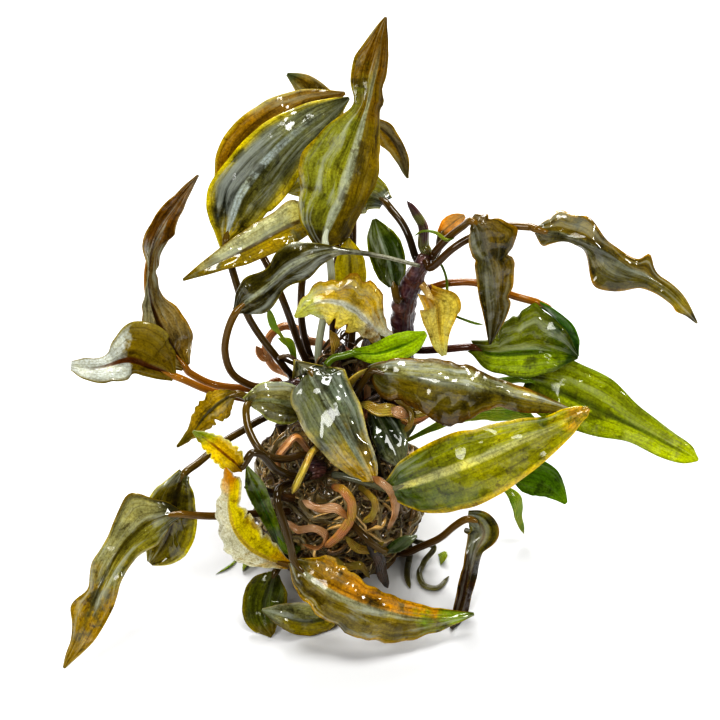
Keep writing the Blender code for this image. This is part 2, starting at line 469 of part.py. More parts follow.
def leaf_sections(leaf, tree, carriers):
    """All the sections of one leaf, from the petiole's foot to the blade's tip."""
    petiole = [list(sighted(*spot)) + [0.0, 0.0, 0.0] for spot in leaf["petiole"]]
    blade = [list(sighted(*row[:3])) + [math.radians(row[3]), row[4] * MM, row[5] * MM]
             for row in leaf["blade"]]
    petiole = planted(petiole, tree)
    for row in petiole:
        row[3] = blade[0][3]
        row[4] = row[5] = blade[0][4]
    rows = petiole + blade
    join = len(petiole)
    petiole_steps = steps_for(petiole, PETIOLE_STEP, PETIOLE_STEPS)
    blade_steps = steps_for(blade, BLADE_STEP, BLADE_STEPS)
    spots = even_spots(petiole_steps, 0, join - 0.25)
    spots += even_spots(blade_steps, join, len(rows) - 1)
    samples = smooth_rows(rows, spots)
    points = [Vector(sample[:3]) for sample in samples]
    for i in range(1, petiole_steps + 1):
        points[i] = outside(carriers, points[i], PETIOLE_RADIUS + GAP)
    ways = tangents(points)
    ways[0] = (Vector(petiole[1][:3]) - Vector(petiole[0][:3])).normalized()

    keel = math.radians(leaf["keel"])
    wave_height, wave_count = leaf["wave"]
    sections = []
    first_blade = petiole_steps + 1
    for i in range(first_blade, len(samples)):
        roll, left, right = samples[i][3:]
        along = (i - first_blade) / blade_steps
        side = facing_side(ways[i])
        normal = ways[i].cross(side)
        turned = side * math.cos(roll) + normal * math.sin(roll)
        upper = normal * math.cos(roll) - side * math.sin(roll)
        left_way = turned * math.cos(keel) + upper * math.sin(keel)
        right_way = upper * math.sin(keel) - turned * math.cos(keel)
        left, right = max(left, TIP_HALF), max(right, TIP_HALF)
        if leaf.get("jagged") and 0 < along < 1:
            bite = JAG_DEPTH * (i % 2)
            left, right = left * (1 - bite), right * (1 - JAG_DEPTH / 2 + bite)
        swing = wave_height * MM * math.sin(math.pi * along)
        phase = 2 * math.pi * wave_count * along
        lifts = (swing * math.sin(phase), swing * math.sin(phase + WAVE_LAG))
        rib = max(MIDRIB_HALF * (1 - RIB_FADE * along), TIP_HALF)
        web = min(BLADE_HALF * (1 - WEB_FADE * along), WEB_SHARE * min(left, right))
        sections.append(keep_above_floor(
            blade_section(points[i], left_way, right_way, upper, (left, right), (rib, web), lifts)))
        if i == first_blade:
            foot_side = turned

    side = foot_side
    stem = []
    for i in range(petiole_steps, -1, -1):
        side = (side - ways[i] * side.dot(ways[i])).normalized()
        stem.append(round_section(points[i], side, ways[i].cross(side), PETIOLE_RADIUS))
    return stem[::-1] + sections


def loft(name, sections):
    """One closed solid through sections that all have the same number of points."""
    mesh = bpy.data.meshes.new(name)
    shape = bmesh.new()
    rings = [[shape.verts.new(point) for point in section] for section in sections]
    count = len(rings[0])
    for lower, upper in zip(rings, rings[1:]):
        for i in range(count):
            j = (i + 1) % count
            shape.faces.new((lower[i], lower[j], upper[j], upper[i]))
    shape.faces.new(rings[0][::-1])
    shape.faces.new(rings[-1])
    bmesh.ops.triangulate(shape, faces=shape.faces[:])
    shape.to_mesh(mesh)
    shape.free()
    mesh.shade_smooth()
    return bpy.data.objects.new(name, mesh)


def tube(name, points, radii):
    """A round rod through the points, with its own radius at each."""
    curve = bpy.data.curves.new(name, "CURVE")
    curve.dimensions = "3D"
    curve.bevel_depth = 1.0 * MM
    curve.bevel_resolution = 1
    curve.use_fill_caps = True
    spline = curve.splines.new("POLY")
    spline.points.add(len(points) - 1)
    for spot, point, radius in zip(spline.points, points, radii):
        spot.co = (*point, 1)
        spot.radius = radius / MM
    return bpy.data.objects.new(name, curve)


def rod(name, spec, carriers, steps, tree=None):
    """A stalk, rhizome or root along its sightings, clear of what carries it."""
    rows = [list(sighted(*spot)) + [radius * MM] for spot, radius in zip(spec["route"], spec["radii"])]
    if tree is not None:
        rows = planted(rows, tree)
    samples = smooth_rows(rows, even_spots(steps, 0, len(rows) - 1))
    radii = [sample[3] for sample in samples]
    points = []
    for i, (sample, radius) in enumerate(zip(samples, radii)):
        point = Vector(sample[:3])
        if i > 0 or tree is None:
            point = outside(carriers, point, radius + GAP)
        point.z = max(point.z, radius + FLOOR_CLEARANCE)
        points.append(point)
    return tube(name, points, radii)


def root_ball():
    """A lumpy dome of matted roots, cut flat underneath where it rests."""
    shape = bmesh.new()
    bmesh.ops.create_uvsphere(shape, u_segments=BALL_SIDES, v_segments=BALL_RINGS, radius=1.0)
    for vert in shape.verts:
        around = math.hypot(vert.co.x, vert.co.y)
        level = max(vert.co.z, BALL_FOOT_LEVEL)
        height = BALL_HEIGHT * (level - BALL_FOOT_LEVEL) / (1 - BALL_FOOT_LEVEL)
        lump = noise.noise(vert.co * LUMP_SCALE) * BALL_LUMPS
        reach = BALL_RADIUS * around**BALL_SHOULDER + lump * around
        turn = math.atan2(vert.co.y, vert.co.x)
        if level > 0:
            height += lump
        vert.co = (reach * math.cos(turn), reach * math.sin(turn), height)
    bmesh.ops.triangulate(shape, faces=shape.faces[:])
    mesh = bpy.data.meshes.new("root_ball")
    shape.to_mesh(mesh)
    shape.free()
    mesh.shade_smooth()
    return bpy.data.objects.new("root_ball", mesh)


def finish_material(obj, colour, roughness):
    material = bpy.data.materials.new(obj.name + "_material")
    material.use_nodes = True
    shader = material.node_tree.nodes["Principled BSDF"]
    shader.inputs["Base Color"].default_value = (*colour, 1)
    shader.inputs["Roughness"].default_value = roughness
    shader.inputs["Metallic"].default_value = 0
    obj.data.materials.append(material)


def surface_tree(obj):
    """A search tree of an object's finished surface."""
    bpy.context.view_layer.update()
    return BVHTree.FromObject(obj, bpy.context.evaluated_depsgraph_get())


def main():
    clear_scene()
    collection = bpy.data.collections.new("cryptocoryne")
    bpy.context.scene.collection.children.link(collection)

    ball = root_ball()
    collection.objects.link(ball)
    finish_material(ball, ROOT_BROWN, 0.8)
    anchors = {"root_ball": surface_tree(ball)}
    for name, spec in RHIZOMES.items():
        rhizome = rod(name, spec, [anchors["root_ball"]], 7)
        collection.objects.link(rhizome)
        finish_material(rhizome, spec["colour"], 0.45)
        anchors[name] = surface_tree(rhizome)
    carriers = list(anchors.values())
    for name, spec in STALKS.items():
        stalk = rod(name, spec, carriers, 5, anchors[spec["anchor"]])
        collection.objects.link(stalk)
        finish_material(stalk, spec["colour"], 0.35)
    for name, spec in ROOTS.items():
        root = rod(name, spec, carriers, 8, anchors[spec["anchor"]])
        collection.objects.link(root)
        finish_material(root, PEACH, 0.4)
    for name, spec in LEAVES.items():
        leaf = loft(name, leaf_sections(spec, anchors[spec["anchor"]], carriers))
        collection.objects.link(leaf)
        finish_material(leaf, spec["colour"], 0.3)


main()
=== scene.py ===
# %% [markdown]
# # A clump of cryptocoryne, lifted out of its pot
# A cryptocoryne is a low water plant. Each leaf has a long round stalk, the petiole, and a
# lance-shaped blade. The stalks rise from short creeping stems, the rhizomes, on a ball of
# matted roots. The solid model already gives every leaf a plain form. This lesson dresses
# each one: a thin wavy blade with veins, a wet skin, and light that shines through it.

# %% Load the solid model
import math
import random
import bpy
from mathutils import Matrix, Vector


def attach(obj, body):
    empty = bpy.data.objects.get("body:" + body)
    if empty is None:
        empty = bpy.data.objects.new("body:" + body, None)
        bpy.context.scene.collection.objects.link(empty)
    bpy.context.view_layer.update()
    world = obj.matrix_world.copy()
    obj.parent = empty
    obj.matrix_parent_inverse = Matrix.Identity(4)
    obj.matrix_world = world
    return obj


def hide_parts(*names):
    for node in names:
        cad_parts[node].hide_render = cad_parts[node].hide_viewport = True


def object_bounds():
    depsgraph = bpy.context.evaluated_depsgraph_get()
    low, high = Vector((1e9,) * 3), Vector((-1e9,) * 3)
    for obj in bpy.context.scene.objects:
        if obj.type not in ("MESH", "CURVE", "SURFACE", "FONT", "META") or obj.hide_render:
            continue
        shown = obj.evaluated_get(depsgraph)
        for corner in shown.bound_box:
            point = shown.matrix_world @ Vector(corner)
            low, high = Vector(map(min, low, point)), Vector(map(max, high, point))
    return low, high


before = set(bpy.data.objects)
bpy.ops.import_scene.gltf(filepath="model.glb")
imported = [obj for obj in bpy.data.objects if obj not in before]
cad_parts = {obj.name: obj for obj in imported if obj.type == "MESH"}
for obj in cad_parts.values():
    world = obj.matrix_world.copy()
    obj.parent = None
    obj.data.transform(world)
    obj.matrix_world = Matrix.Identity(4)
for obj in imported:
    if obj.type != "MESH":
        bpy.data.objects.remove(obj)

import zlib

import bmesh
import bpy
from mathutils import Vector, noise
from mathutils.bvhtree import BVHTree

MM = 0.001
cad_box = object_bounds()
low, high = ([round(v / MM) for v in corner] for corner in cad_box)
print("solid model from", low, "to", high, "mm")

# %% [markdown]
# ## Where we look from
# The plant is seen from the front and from above, from a point 0.6 m away and tilted 35
# degrees down. A long lens keeps the near and far leaves at nearly the same scale. The same
# numbers serve twice: they place the camera here, and further down they turn a place in the
# picture into a place in space. So they are kept as named values and not typed in twice.

# %% Camera
FRAME_PIXELS = 720
PIXEL = 0.3 * MM
SENSOR_WIDTH = 36
CLIP_START = 10 * MM
SIGHT_TILT = math.radians(35)
SIGHT_DISTANCE = 600 * MM
SIGHT_CENTRE = Vector((7 * MM, 0, 72 * MM))
TOWARD = Vector((0, -math.cos(SIGHT_TILT), math.sin(SIGHT_TILT)))
UP_FRAME = Vector((0, math.sin(SIGHT_TILT), math.cos(SIGHT_TILT)))


def placed(name, data):
    """A new object with this data, in the scene."""
    obj = bpy.data.objects.new(name, data)
    bpy.context.scene.collection.objects.link(obj)
    return obj


camera_data = bpy.data.cameras.new("camera")
camera_data.sensor_width = SENSOR_WIDTH
camera_data.lens = SENSOR_WIDTH * SIGHT_DISTANCE / (FRAME_PIXELS * PIXEL)
camera_data.clip_start = CLIP_START
camera = placed("camera", camera_data)
camera.location = SIGHT_CENTRE + TOWARD * SIGHT_DISTANCE
camera.rotation_euler = (math.pi / 2 - SIGHT_TILT, 0, 0)
bpy.context.scene.camera = camera
print("lens", round(camera_data.lens), "mm")

# %% [markdown]
# ## Floor and light
# The plant stands on a pale table. A wet leaf is a mirror, so most of the light comes from
# soft boxes and only a little from the white room, or a veil of grey would lie on every
# colour. The broad box behind shines through the blades and leaves a faint shadow in front.
# The one overhead draws the wet patches, and the two in front open up the dark middle. The
# boxes are far off, so the table is equally bright everywhere and looks white from any side.

# %% Table top
TABLE_COLOUR = (0.58, 0.58, 0.58, 1)
TABLE_ROUGHNESS = 0.9
TABLE_SIZE = 4.0


def new_material(name):
    """A material, and the Principled shader in it."""
    material = bpy.data.materials.new(name)
    material.use_nodes = True
    return material, material.node_tree.nodes["Principled BSDF"]


bpy.ops.mesh.primitive_plane_add(size=TABLE_SIZE)
table = bpy.context.object
table.name = "table_top"
table_white, shader = new_material("table_white")
shader.inputs["Base Color"].default_value = TABLE_COLOUR
shader.inputs["Roughness"].default_value = TABLE_ROUGHNESS
table.data.materials.append(table_white)
print("table", TABLE_SIZE, "m wide")

# %% Sky and lamps
ROOM_COLOUR = (1, 1, 1, 1)
ROOM_LIGHT = 0.2
ROOM_SEEN = 1.0

world = bpy.data.worlds.new("white_room")
bpy.context.scene.world = world
world.use_nodes = True
sky = world.node_tree.nodes["Background"]
sky.inputs["Color"].default_value = ROOM_COLOUR
ray = world.node_tree.nodes.new("ShaderNodeLightPath")
brightness = world.node_tree.nodes.new("ShaderNodeMapRange")
world.node_tree.links.new(ray.outputs["Is Camera Ray"], brightness.inputs["Value"])
brightness.inputs["To Min"].default_value = ROOM_LIGHT
brightness.inputs["To Max"].default_value = ROOM_SEEN
world.node_tree.links.new(brightness.outputs[0], sky.inputs["Strength"])

# Each box has the place it shines from, its width in degrees of the sky, and its strength.
SOFT_BOXES = {
    "box_behind": ((-0.1, 0.75, 0.62), 32, 3.0),
    "box_overhead": ((0.1, 0.1, 0.9), 24, 1.8),
    "box_front_left": ((-0.5, -0.7, 0.72), 29, 1.4),
    "box_front_right": ((0.6, -0.5, 0.62), 11, 0.7)}

for name, (place, width, strength) in SOFT_BOXES.items():
    light = bpy.data.lights.new(name, "SUN")
    light.angle = math.radians(width)
    light.energy = strength
    lamp = placed(name, light)
    lamp.location = place
    lamp.rotation_euler = Vector(place).to_track_quat("Z", "Y").to_euler()
bpy.context.scene.view_settings.view_transform = "Standard"
bpy.context.scene.view_settings.look = "High Contrast"
print(len(SOFT_BOXES), "soft boxes")

# %% [markdown]
# ## Reading a leaf's route
# Every leaf is drawn along a route. A place on the route is a sighting: how far across and
# down it lies in the square picture, and how many mm it lies behind the root ball's axis.
# One ray from the camera runs through that spot of the picture, and the depth says where to
# stop on it. Between the places a smooth curve is read, so a leaf bends without corners.

# %% Sightings and smooth curves
SHORTEST_STEP = 0.1 * MM


def sighted(across, down, back):
    """Turn a sighting into the point it names, in metres."""
    eye = SIGHT_CENTRE + TOWARD * SIGHT_DISTANCE
    right = (across - FRAME_PIXELS / 2) * PIXEL
    up = (FRAME_PIXELS / 2 - down) * PIXEL
    ray = Vector((right, 0, 0)) + UP_FRAME * up - TOWARD * SIGHT_DISTANCE
    reach = (back * MM - eye.y) / ray.y
    return eye + ray * reach


def smooth_rows(rows, spots):
    """Read a smooth curve through rows of numbers at the given spots, from 0 to the last row."""
    lengths = [0.0]
    for before, after in zip(rows, rows[1:]):
        step = (Vector(after[:3]) - Vector(before[:3])).length
        lengths.append(lengths[-1] + max(step, SHORTEST_STEP))
    slopes = []
    for i in range(len(rows)):
        low, high = max(i - 1, 0), min(i + 1, len(rows) - 1)
        span = lengths[high] - lengths[low]
        slopes.append([(b - a) / span for a, b in zip(rows[low], rows[high])])
    result = []
    for spot in spots:
        i = min(int(spot), len(rows) - 2)
        t = spot - i
        span = lengths[i + 1] - lengths[i]
        here, here_slope = 2 * t**3 - 3 * t**2 + 1, t**3 - 2 * t**2 + t
        there, there_slope = 3 * t**2 - 2 * t**3, t**3 - t**2
        result.append([here * a + here_slope * span * rise_a + there * b + there_slope * span * rise_b
                       for a, b, rise_a, rise_b in zip(rows[i], rows[i + 1], slopes[i], slopes[i + 1])])
    return result


def even_spots(count, first, last):
    return [first + (last - first) * i / count for i in range(count + 1)]


def run_length(points):
    return sum((b - a).length for a, b in zip(points, points[1:]))


def tangents(points):
    last = len(points) - 1
    return [(points[min(i + 1, last)] - points[max(i - 1, 0)]).normalized() for i in range(last + 1)]


def carried_sides(ways, side):
    """A sideways direction at each step of a route, carried along it without twisting."""
    sides = []
    for way in ways:
        side = (side - way * side.dot(way)).normalized()
        sides.append(side)
    return sides


def above_floor(point, gap):
    point.z = max(point.z, gap)
    return point


middle = sighted(FRAME_PIXELS / 2, FRAME_PIXELS / 2, 0)
print("the middle of the picture lies at", [round(v / MM) for v in middle], "mm")

# %% [markdown]
# ## What the leaves grow from
# A stalk has to leave the root ball or the rhizome squarely, whatever its route says. A search
# tree finds the nearest spot on the solid that carries the leaf. The route then starts a
# little inside it, so that no gap shows, and is pushed outside wherever it comes too near.

# %% Carriers
CARRIERS = ("root_ball", "rhizome_left", "rhizome_right", "crown_front")
COLLAR = 2.0 * MM
INSIDE_COSINE = -0.5


def surface_tree(obj):
    bpy.context.view_layer.update()
    tree_mesh = bmesh.new()
    tree_mesh.from_mesh(obj.data)
    tree_mesh.transform(obj.matrix_world)
    tree = BVHTree.FromBMesh(tree_mesh)
    tree_mesh.free()
    return tree


carriers = {name: surface_tree(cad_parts[name]) for name in CARRIERS}


def outside(point, distance):
    """The point itself, or moved out until it is this far from everything that carries a leaf."""
    for tree in carriers.values():
        place, normal, _, _ = tree.find_nearest(point)
        offset = point - place
        if offset.dot(normal) < INSIDE_COSINE * offset.length:
            point = place + normal * distance
        elif offset.length < distance:
            point = place + offset.normalized() * distance
    return point


def planted(rows, tree, depth):
    """Give a route a foot that stands square on its carrier and reaches a little into it."""
    place, normal, _, _ = tree.find_nearest(Vector(rows[0][:3]))
    rest = rows[0][3:]
    kept = [row for row in rows[1:] if (Vector(row[:3]) - place).length > 2 * COLLAR]
    return [[*(place + normal * height), *rest] for height in (-depth, COLLAR)] + kept


print("carriers:", ", ".join(carriers))

# %% [markdown]
# ## The leaves' routes
# One entry for each leaf. The petiole is a list of sightings. Each row of the blade adds its
# half width in mm on the left and on the right, as seen by someone who walks from the base
# to the tip, and where the blade is rolled over, its roll in degrees. The keel is the angle
# at which each half rises from the midrib. A wave is a height in mm and a number of waves
# along the margin. A bite is a spot along the leaf, a side, a depth and a width, and a
# negative depth makes a bulge.

# %% Leaf table
LEAVES = {
    "leaf_top": dict(
        anchor="rhizome_left", lobe=3.0,
        bites=[(0.1, 1, -0.35, 0.09), (0.1, -1, -0.3, 0.09), (0.62, 1, 0.3, 0.04), (0.66, -1, -0.2, 0.02),
               (0.7, -1, 0.22, 0.03)],
        keel=-25, wave=(0.7, 2.5),
        petiole=[(316, 384, 11), (318, 355, 11), (322, 325, 12), (331, 285, 13), (330, 262, 13)],
        blade=[(325, 243, 14, 1.5, 1.5, 25), (328, 228, 17, 7, 7.5, 25), (341, 200, 22, 12.5, 11, 25),
               (350, 170, 27, 14.5, 12.5, 25), (358, 140, 32, 11, 10.5, 25), (367, 105, 38, 5, 7, 25),
               (376, 70, 44, 7.5, 5, 22), (381, 42, 47, 4.5, 3, 20), (386, 17, 50, 0.4, 0.4, 20)]),
    "leaf_grey_left": dict(
        anchor="rhizome_left", lobe=3.0, keel=-14, wave=(0.6, 2),
        petiole=[(292, 379, 10), (285, 368, 10), (250, 320, 11), (233, 272, 14), (228, 250, 17)],
        blade=[(226, 240, 18, 1.6, 1.6), (229, 228, 20, 6, 5), (234, 213, 23, 9, 8),
               (241, 194, 27, 10.2, 10.4), (262, 165, 33, 9.5, 11.5), (290, 137, 40, 8.5, 9),
               (320, 115, 47, 5.4, 6.8), (349, 98, 52, 0.5, 0.5)]),
    "leaf_back_orange": dict(
        anchor="rhizome_left",
        bites=[(0.45, -1, -0.9, 0.2)], keel=10, wave=(0.8, 2),
        petiole=[(312, 374, 16), (300, 347, 16), (283, 300, 18), (262, 255, 24), (240, 225, 29)],
        blade=[(233, 205, 32, 2, 2), (235, 185, 35, 6.5, 5), (247, 158, 40, 9.2, 8),
               (272, 130, 47, 8.4, 8), (305, 108, 53, 6.2, 6), (345, 93, 58, 0.5, 0.5)]),
    "leaf_pointed_left": dict(
        anchor="rhizome_left", keel=18, wave=(0.5, 3),
        petiole=[(314, 369, 20), (304, 335, 20), (301, 300, 20), (306, 262, 24), (322, 232, 28)],
        blade=[(318, 219, 28, 2, 2), (300, 222, 25, 5, 7), (280, 231, 21, 5.6, 6),
               (245, 250, 15, 4.6, 5.2), (213, 265, 10, 2.6, 3), (183, 280, 5, 0.4, 0.4)]),
    "leaf_crossing": dict(
        anchor="rhizome_left", keel=-22, wave=(0.7, 2),
        petiole=[(284, 389, 4), (268, 388, 3), (250, 385, 2), (232, 373, 1), (225, 352, 1), (228, 330, 1)],
        blade=[(236, 312, 1, 1.4, 1.4), (244, 304, 1.5, 4.8, 4.6), (256, 295, 2, 6.6, 6.4),
               (273, 281, 3, 4.6, 4.4), (288, 268, 3.5, 6.6, 5.8), (303, 260, 4, 6.4, 5.8),
               (320, 254, 5, 3.6, 3.4), (342, 251, 5.5, 1.2, 1.2), (380, 256, 6.5, 0.8, 0.8),
               (420, 266, 7, 0.6, 0.6)]),
    "leaf_tall_left": dict(
        anchor="rhizome_left", keel=12, wave=(0.4, 2),
        petiole=[(280, 386, 9), (262, 388, 8), (240, 388, 6), (212, 384, 5), (190, 373, 4)],
        blade=[(185, 367, 4, 1.8, 1.8, 20), (174, 352, 5, 7.2, 7, 25), (160, 328, 7, 8.6, 8.4, 35),
               (150, 302, 9, 6, 6, 62), (147, 276, 10, 5, 5, 80), (151, 250, 12, 6, 6, 66),
               (160, 226, 13, 4.8, 4.8, 50), (177, 201, 15, 2.8, 2.8, 45),
               (198, 175, 17, 0.4, 0.4, 45)]),
    "leaf_curled_left": dict(
        anchor="rhizome_left", rib_end=0.4, keel=16, wave=(0.6, 2),
        petiole=[(264, 398, 4), (250, 399, 2.5), (232, 396, 0.5), (208, 390, -1.5), (182, 379, -3)],
        blade=[(174, 376, -3, 1.6, 1.6, -15), (161, 371, -4, 2.6, 8.6, -15),
               (148, 367, -5, 3, 11.8, -12), (138, 363, -6, 3.6, 13.2, -8), (129, 361, -7, 5, 12.4),
               (120, 362, -8, 6.6, 7, 15), (110, 365, -8.5, 6.8, 4.2, 25), (97, 368, -9.5, 6, 3.2, 25),
               (84, 368, -10.5, 4.6, 3, 25), (71, 366, -11, 1.6, 1.6, 25)]),
    "leaf_small_left": dict(
        anchor="rhizome_left", jagged=0.5, keel=-20, wave=(0.8, 3),
        petiole=[(282, 407, -1), (266, 406, -3.5), (246, 397, -6)],
        blade=[(236, 394, -6, 1.2, 1.2), (222, 401, -8, 4.8, 4.4), (206, 415, -11, 4.4, 4.2),
               (193, 432, -13, 2.2, 2.2), (177, 447, -15, 0.4, 0.4)]),
    "leaf_long_lower": dict(
        anchor="root_ball",
        bites=[(0.25, -1, -0.3, 0.05), (0.55, -1, -0.25, 0.05), (0.66, -1, 0.3, 0.04),
               (0.77, -1, -0.35, 0.05), (0.9, -1, 0.3, 0.05)],
        keel=-22, wave=(1.2, 4),
        petiole=[(270, 513, -26), (250, 514, -28), (215, 516, -32), (190, 515, -35)],
        blade=[(181, 514, -36, 1.4, 1.4), (165, 516, -38, 5, 5.4), (143, 526, -41, 7.6, 8.6),
               (121, 548, -46, 5.6, 5.6), (104, 577, -51, 5.6, 4.6), (92, 606, -55, 6, 5),
               (80, 636, -58, 4.8, 3.8), (64, 668, -60, 0.5, 0.5)]),
    "leaf_spoon_left": dict(
        anchor="rhizome_left", keel=22, wave=(0.4, 2),
        petiole=[(292, 403, 3), (264, 418, -1), (240, 432, -8), (222, 443, -14), (198, 463, -22)],
        blade=[(184, 474, -27, 2.2, 2.2), (179, 488, -28, 5.4, 6.4), (174, 508, -29, 8, 9),
               (170, 530, -30, 8.6, 8.8), (161, 550, -32, 6.5, 6.4),
               (150, 563, -34, 1.2, 1.2)]),
    "leaf_kinked": dict(
        anchor="crown_front", jagged=0.5, keel=15, wave=(0.6, 2),
        petiole=[(296, 481, -26), (277, 470, -30), (262, 455, -32), (252, 453, -33), (246, 461, -34)],
        blade=[(241, 467, -35, 1.6, 1.6), (232, 460, -35.5, 3.4, 3.8),
               (221, 451, -36, 3.6, 4), (208, 441, -36, 2.6, 3), (193, 431, -36, 0.4, 0.4)]),
    "leaf_yellow_front": dict(
        anchor="root_ball", jagged=0.5, keel=-20, wave=(0.9, 3),
        petiole=[(303, 563, -26), (298, 564, -28)],
        blade=[(290, 565, -30, 1.6, 1.6), (272, 560, -34, 3.4, 5), (251, 549, -37, 6, 7),
               (235, 530, -39, 5.8, 6), (229, 507, -40, 3.8, 4.2), (229, 484, -41, 2.4, 3.2),
               (226, 468, -41, 0.5, 0.5)]),
    "leaf_narrow_green": dict(
        anchor="root_ball", keel=10, wave=(0.2, 1),
        petiole=[(291, 556, -26), (286, 550, -28)],
        blade=[(281, 543, -29, 1.4, 1.4), (272, 525, -30, 2, 2), (263, 505, -30, 2.6, 2.6),
               (254, 484, -29, 2.8, 2.8), (247, 466, -28, 0.4, 0.4)]),
    "leaf_centre_grey": dict(
        anchor="root_ball", keel=-18, wave=(0.5, 2), lobe=4.5,
        petiole=[(330, 441, -6), (325, 415, -2), (318, 388, 0)],
        blade=[(311, 373, -1, 6.4, 6.2), (314, 379, -5, 9.8, 9.8), (322, 392, -9, 9.2, 10.8),
               (335, 415, -15, 8.6, 11), (352, 445, -20, 6, 9), (364, 466, -23, 4.6, 6.4),
               (371, 478, -24, 2.6, 3.2), (373, 482, -24, 0.5, 0.5)]),
    "leaf_grey_lobe": dict(
        anchor="crown_front", keel=14, wave=(0.5, 2),
        petiole=[(305, 455, -18), (284, 459, -23), (264, 454, -24.5), (250, 433, -19), (246, 414, -13)],
        blade=[(248, 404, -9, 2.5, 2), (260, 400, -6, 5, 5), (278, 401, -4, 6, 7),
               (295, 404, -2.5, 5, 6), (310, 408, -1.5, 1, 1)]),
    "leaf_dark_right": dict(
        anchor="root_ball", lobe=2.0, jagged=0.22, keel=-24, wave=(1.0, 3),
        petiole=[(350, 438, -3), (350, 415, -3), (356, 394, -3), (366, 378, -4)],
        blade=[(373, 371, -5, 1.8, 1.8), (385, 374, -7, 4.8, 8), (410, 377, -10, 6.4, 9.4),
               (438, 381, -13, 7.2, 12.4), (462, 385, -14, 6.8, 13.6),
               (480, 389, -15, 5.6, 9.4), (502, 394, -15.5, 4.4, 5), (532, 401, -16, 3.4, 4),
               (573, 411, -16, 0.5, 0.5)]),
    "leaf_big_front_right": dict(
        anchor="root_ball", lobe=2.0,
        bites=[(0.45, 1, 0.12, 0.05), (0.7, 1, 0.2, 0.06), (0.85, -1, 0.15, 0.05)],
        keel=-12, wave=(1.1, 3),
        petiole=[(338, 473, -21), (362, 481, -23), (383, 488, -24)],
        blade=[(390, 489, -25, 2.4, 2.6), (408, 484, -27, 7.6, 10), (445, 471, -31, 9.6, 13),
               (480, 458, -33, 10, 12.6), (515, 443, -34, 6.6, 10), (555, 426, -35, 4.6, 6),
               (580, 414, -34.5, 2.6, 2.6), (589, 408, -34, 0.6, 0.6)]),
    "leaf_big_right": dict(
        anchor="rhizome_right", lobe=2.5, keel=-14, wave=(0.5, 2),
        petiole=[(404, 398, 10), (440, 394, 8), (485, 384, 5), (518, 379, 1)],
        blade=[(528, 380, 0, 3.4, 3.2), (536, 383, -1, 7.2, 6.4), (549, 388, -2, 9.8, 8.8),
               (567, 395, -4, 11, 9.6), (600, 411, -7, 10.2, 8.2), (635, 427, -10, 6.2, 5),
               (668, 444, -12, 4, 4.8), (688, 455, -13, 3, 3.2), (698, 460, -13, 0.5, 0.5)]),
    "leaf_green_middle": dict(
        anchor="rhizome_right", lobe=2.0,
        bites=[(0.62, 1, -0.16, 0.04), (0.5, 1, 0.12, 0.03), (0.3, 1, 0.15, 0.02)], keel=14, wave=(0.6, 2),
        petiole=[(424, 352, 11), (446, 349, 8), (468, 347, 6)],
        blade=[(475, 348, 6, 1.8, 1.8), (490, 354, 5, 6, 5), (510, 354, 4, 10.5, 6.8),
               (535, 352, 3, 13.4, 7.6), (557, 353, 2, 9, 5.6), (578, 357, 1, 0.6, 0.6)]),
    "leaf_edge_on": dict(
        anchor="rhizome_right", keel=0, wave=(0.2, 1),
        petiole=[(432, 289, 14), (449, 283, 13), (477, 283, 12), (514, 296, 11), (532, 301, 10)],
        blade=[(538, 303, 10, 1.2, 1.2, 60), (551, 313, 9, 4.4, 1.5, 70), (564, 329, 8, 5, 1.5, 70),
               (573, 343, 8, 3, 1.5, 70), (578, 356, 7, 0.4, 0.4, 70)]),
    "leaf_hanging_brown": dict(
        anchor="rhizome_right",
        bites=[(0.14, 1, 0.35, 0.03), (0.32, 1, -0.25, 0.08), (0.47, 1, 0.22, 0.02),
               (0.56, 1, -0.12, 0.05), (0.74, 1, 0.25, 0.03), (0.3, -1, -0.1, 0.06), (0.46, -1, 0.12, 0.03)],
        keel=-15, wave=(0.9, 3),
        petiole=[(437, 252, 14), (447, 239, 13), (462, 227, 9)],
        blade=[(472, 221, 4, 2.4, 2), (480, 228, 2, 6.6, 3.6), (486, 245, 1, 8.6, 4.6),
               (492, 265, 0, 6.6, 4.8), (495, 287, 0, 6, 5.4), (496, 312, 0.5, 4, 4.4),
               (490, 344, 1, 0.4, 0.4)]),
    "leaf_far_right": dict(
        anchor="rhizome_right",
        bites=[(0.18, 1, -0.35, 0.05), (0.4, 1, 0.3, 0.06), (0.64, 1, -0.6, 0.03), (0.72, 1, 0.3, 0.04),
               (0.12, -1, -0.2, 0.03), (0.26, -1, 0.35, 0.05), (0.5, -1, -0.3, 0.07), (0.9, -1, -0.4, 0.03)],
        keel=-30, wave=(1.1, 4),
        petiole=[(432, 270, 8), (451, 250, 7), (468, 239, 8), (500, 227, 9), (530, 227, 7.5)],
        blade=[(536, 229, 6, 1.6, 1.6), (546, 232, 5.5, 4.4, 4, 4), (562, 235, 5, 6.6, 3, 8),
               (584, 242, 3, 7.6, 3.6, 25), (606, 253, 1, 5.2, 8), (628, 268, -1, 4.2, 7.4, -8),
               (648, 277, -2, 5, 4.4), (668, 290, -3, 2.8, 3.2), (684, 306, -5, 2.2, 2.2),
               (697, 323, -6, 0.4, 0.4)]),
    "leaf_bottom_front": dict(
        anchor="root_ball", jagged=0.22, keel=-18, wave=(1.0, 4),
        petiole=[(287, 482, -25), (280, 488, -31), (277, 497, -35), (279, 508, -37), (285, 527, -39),
                 (291, 548, -41)],
        blade=[(294, 561, -42, 2, 2), (309, 577, -45, 8.4, 6.4), (335, 595, -49, 8.6, 8.6),
               (370, 608, -50, 6.6, 10.4), (402, 616, -49, 5, 9.2), (435, 619, -46, 3.6, 5),
               (474, 614, -42, 0.5, 0.5)]),
    "leaf_dark_lower": dict(
        anchor="root_ball", keel=-10, wave=(0.4, 2),
        petiole=[(284, 558, -24), (279, 566, -27)],
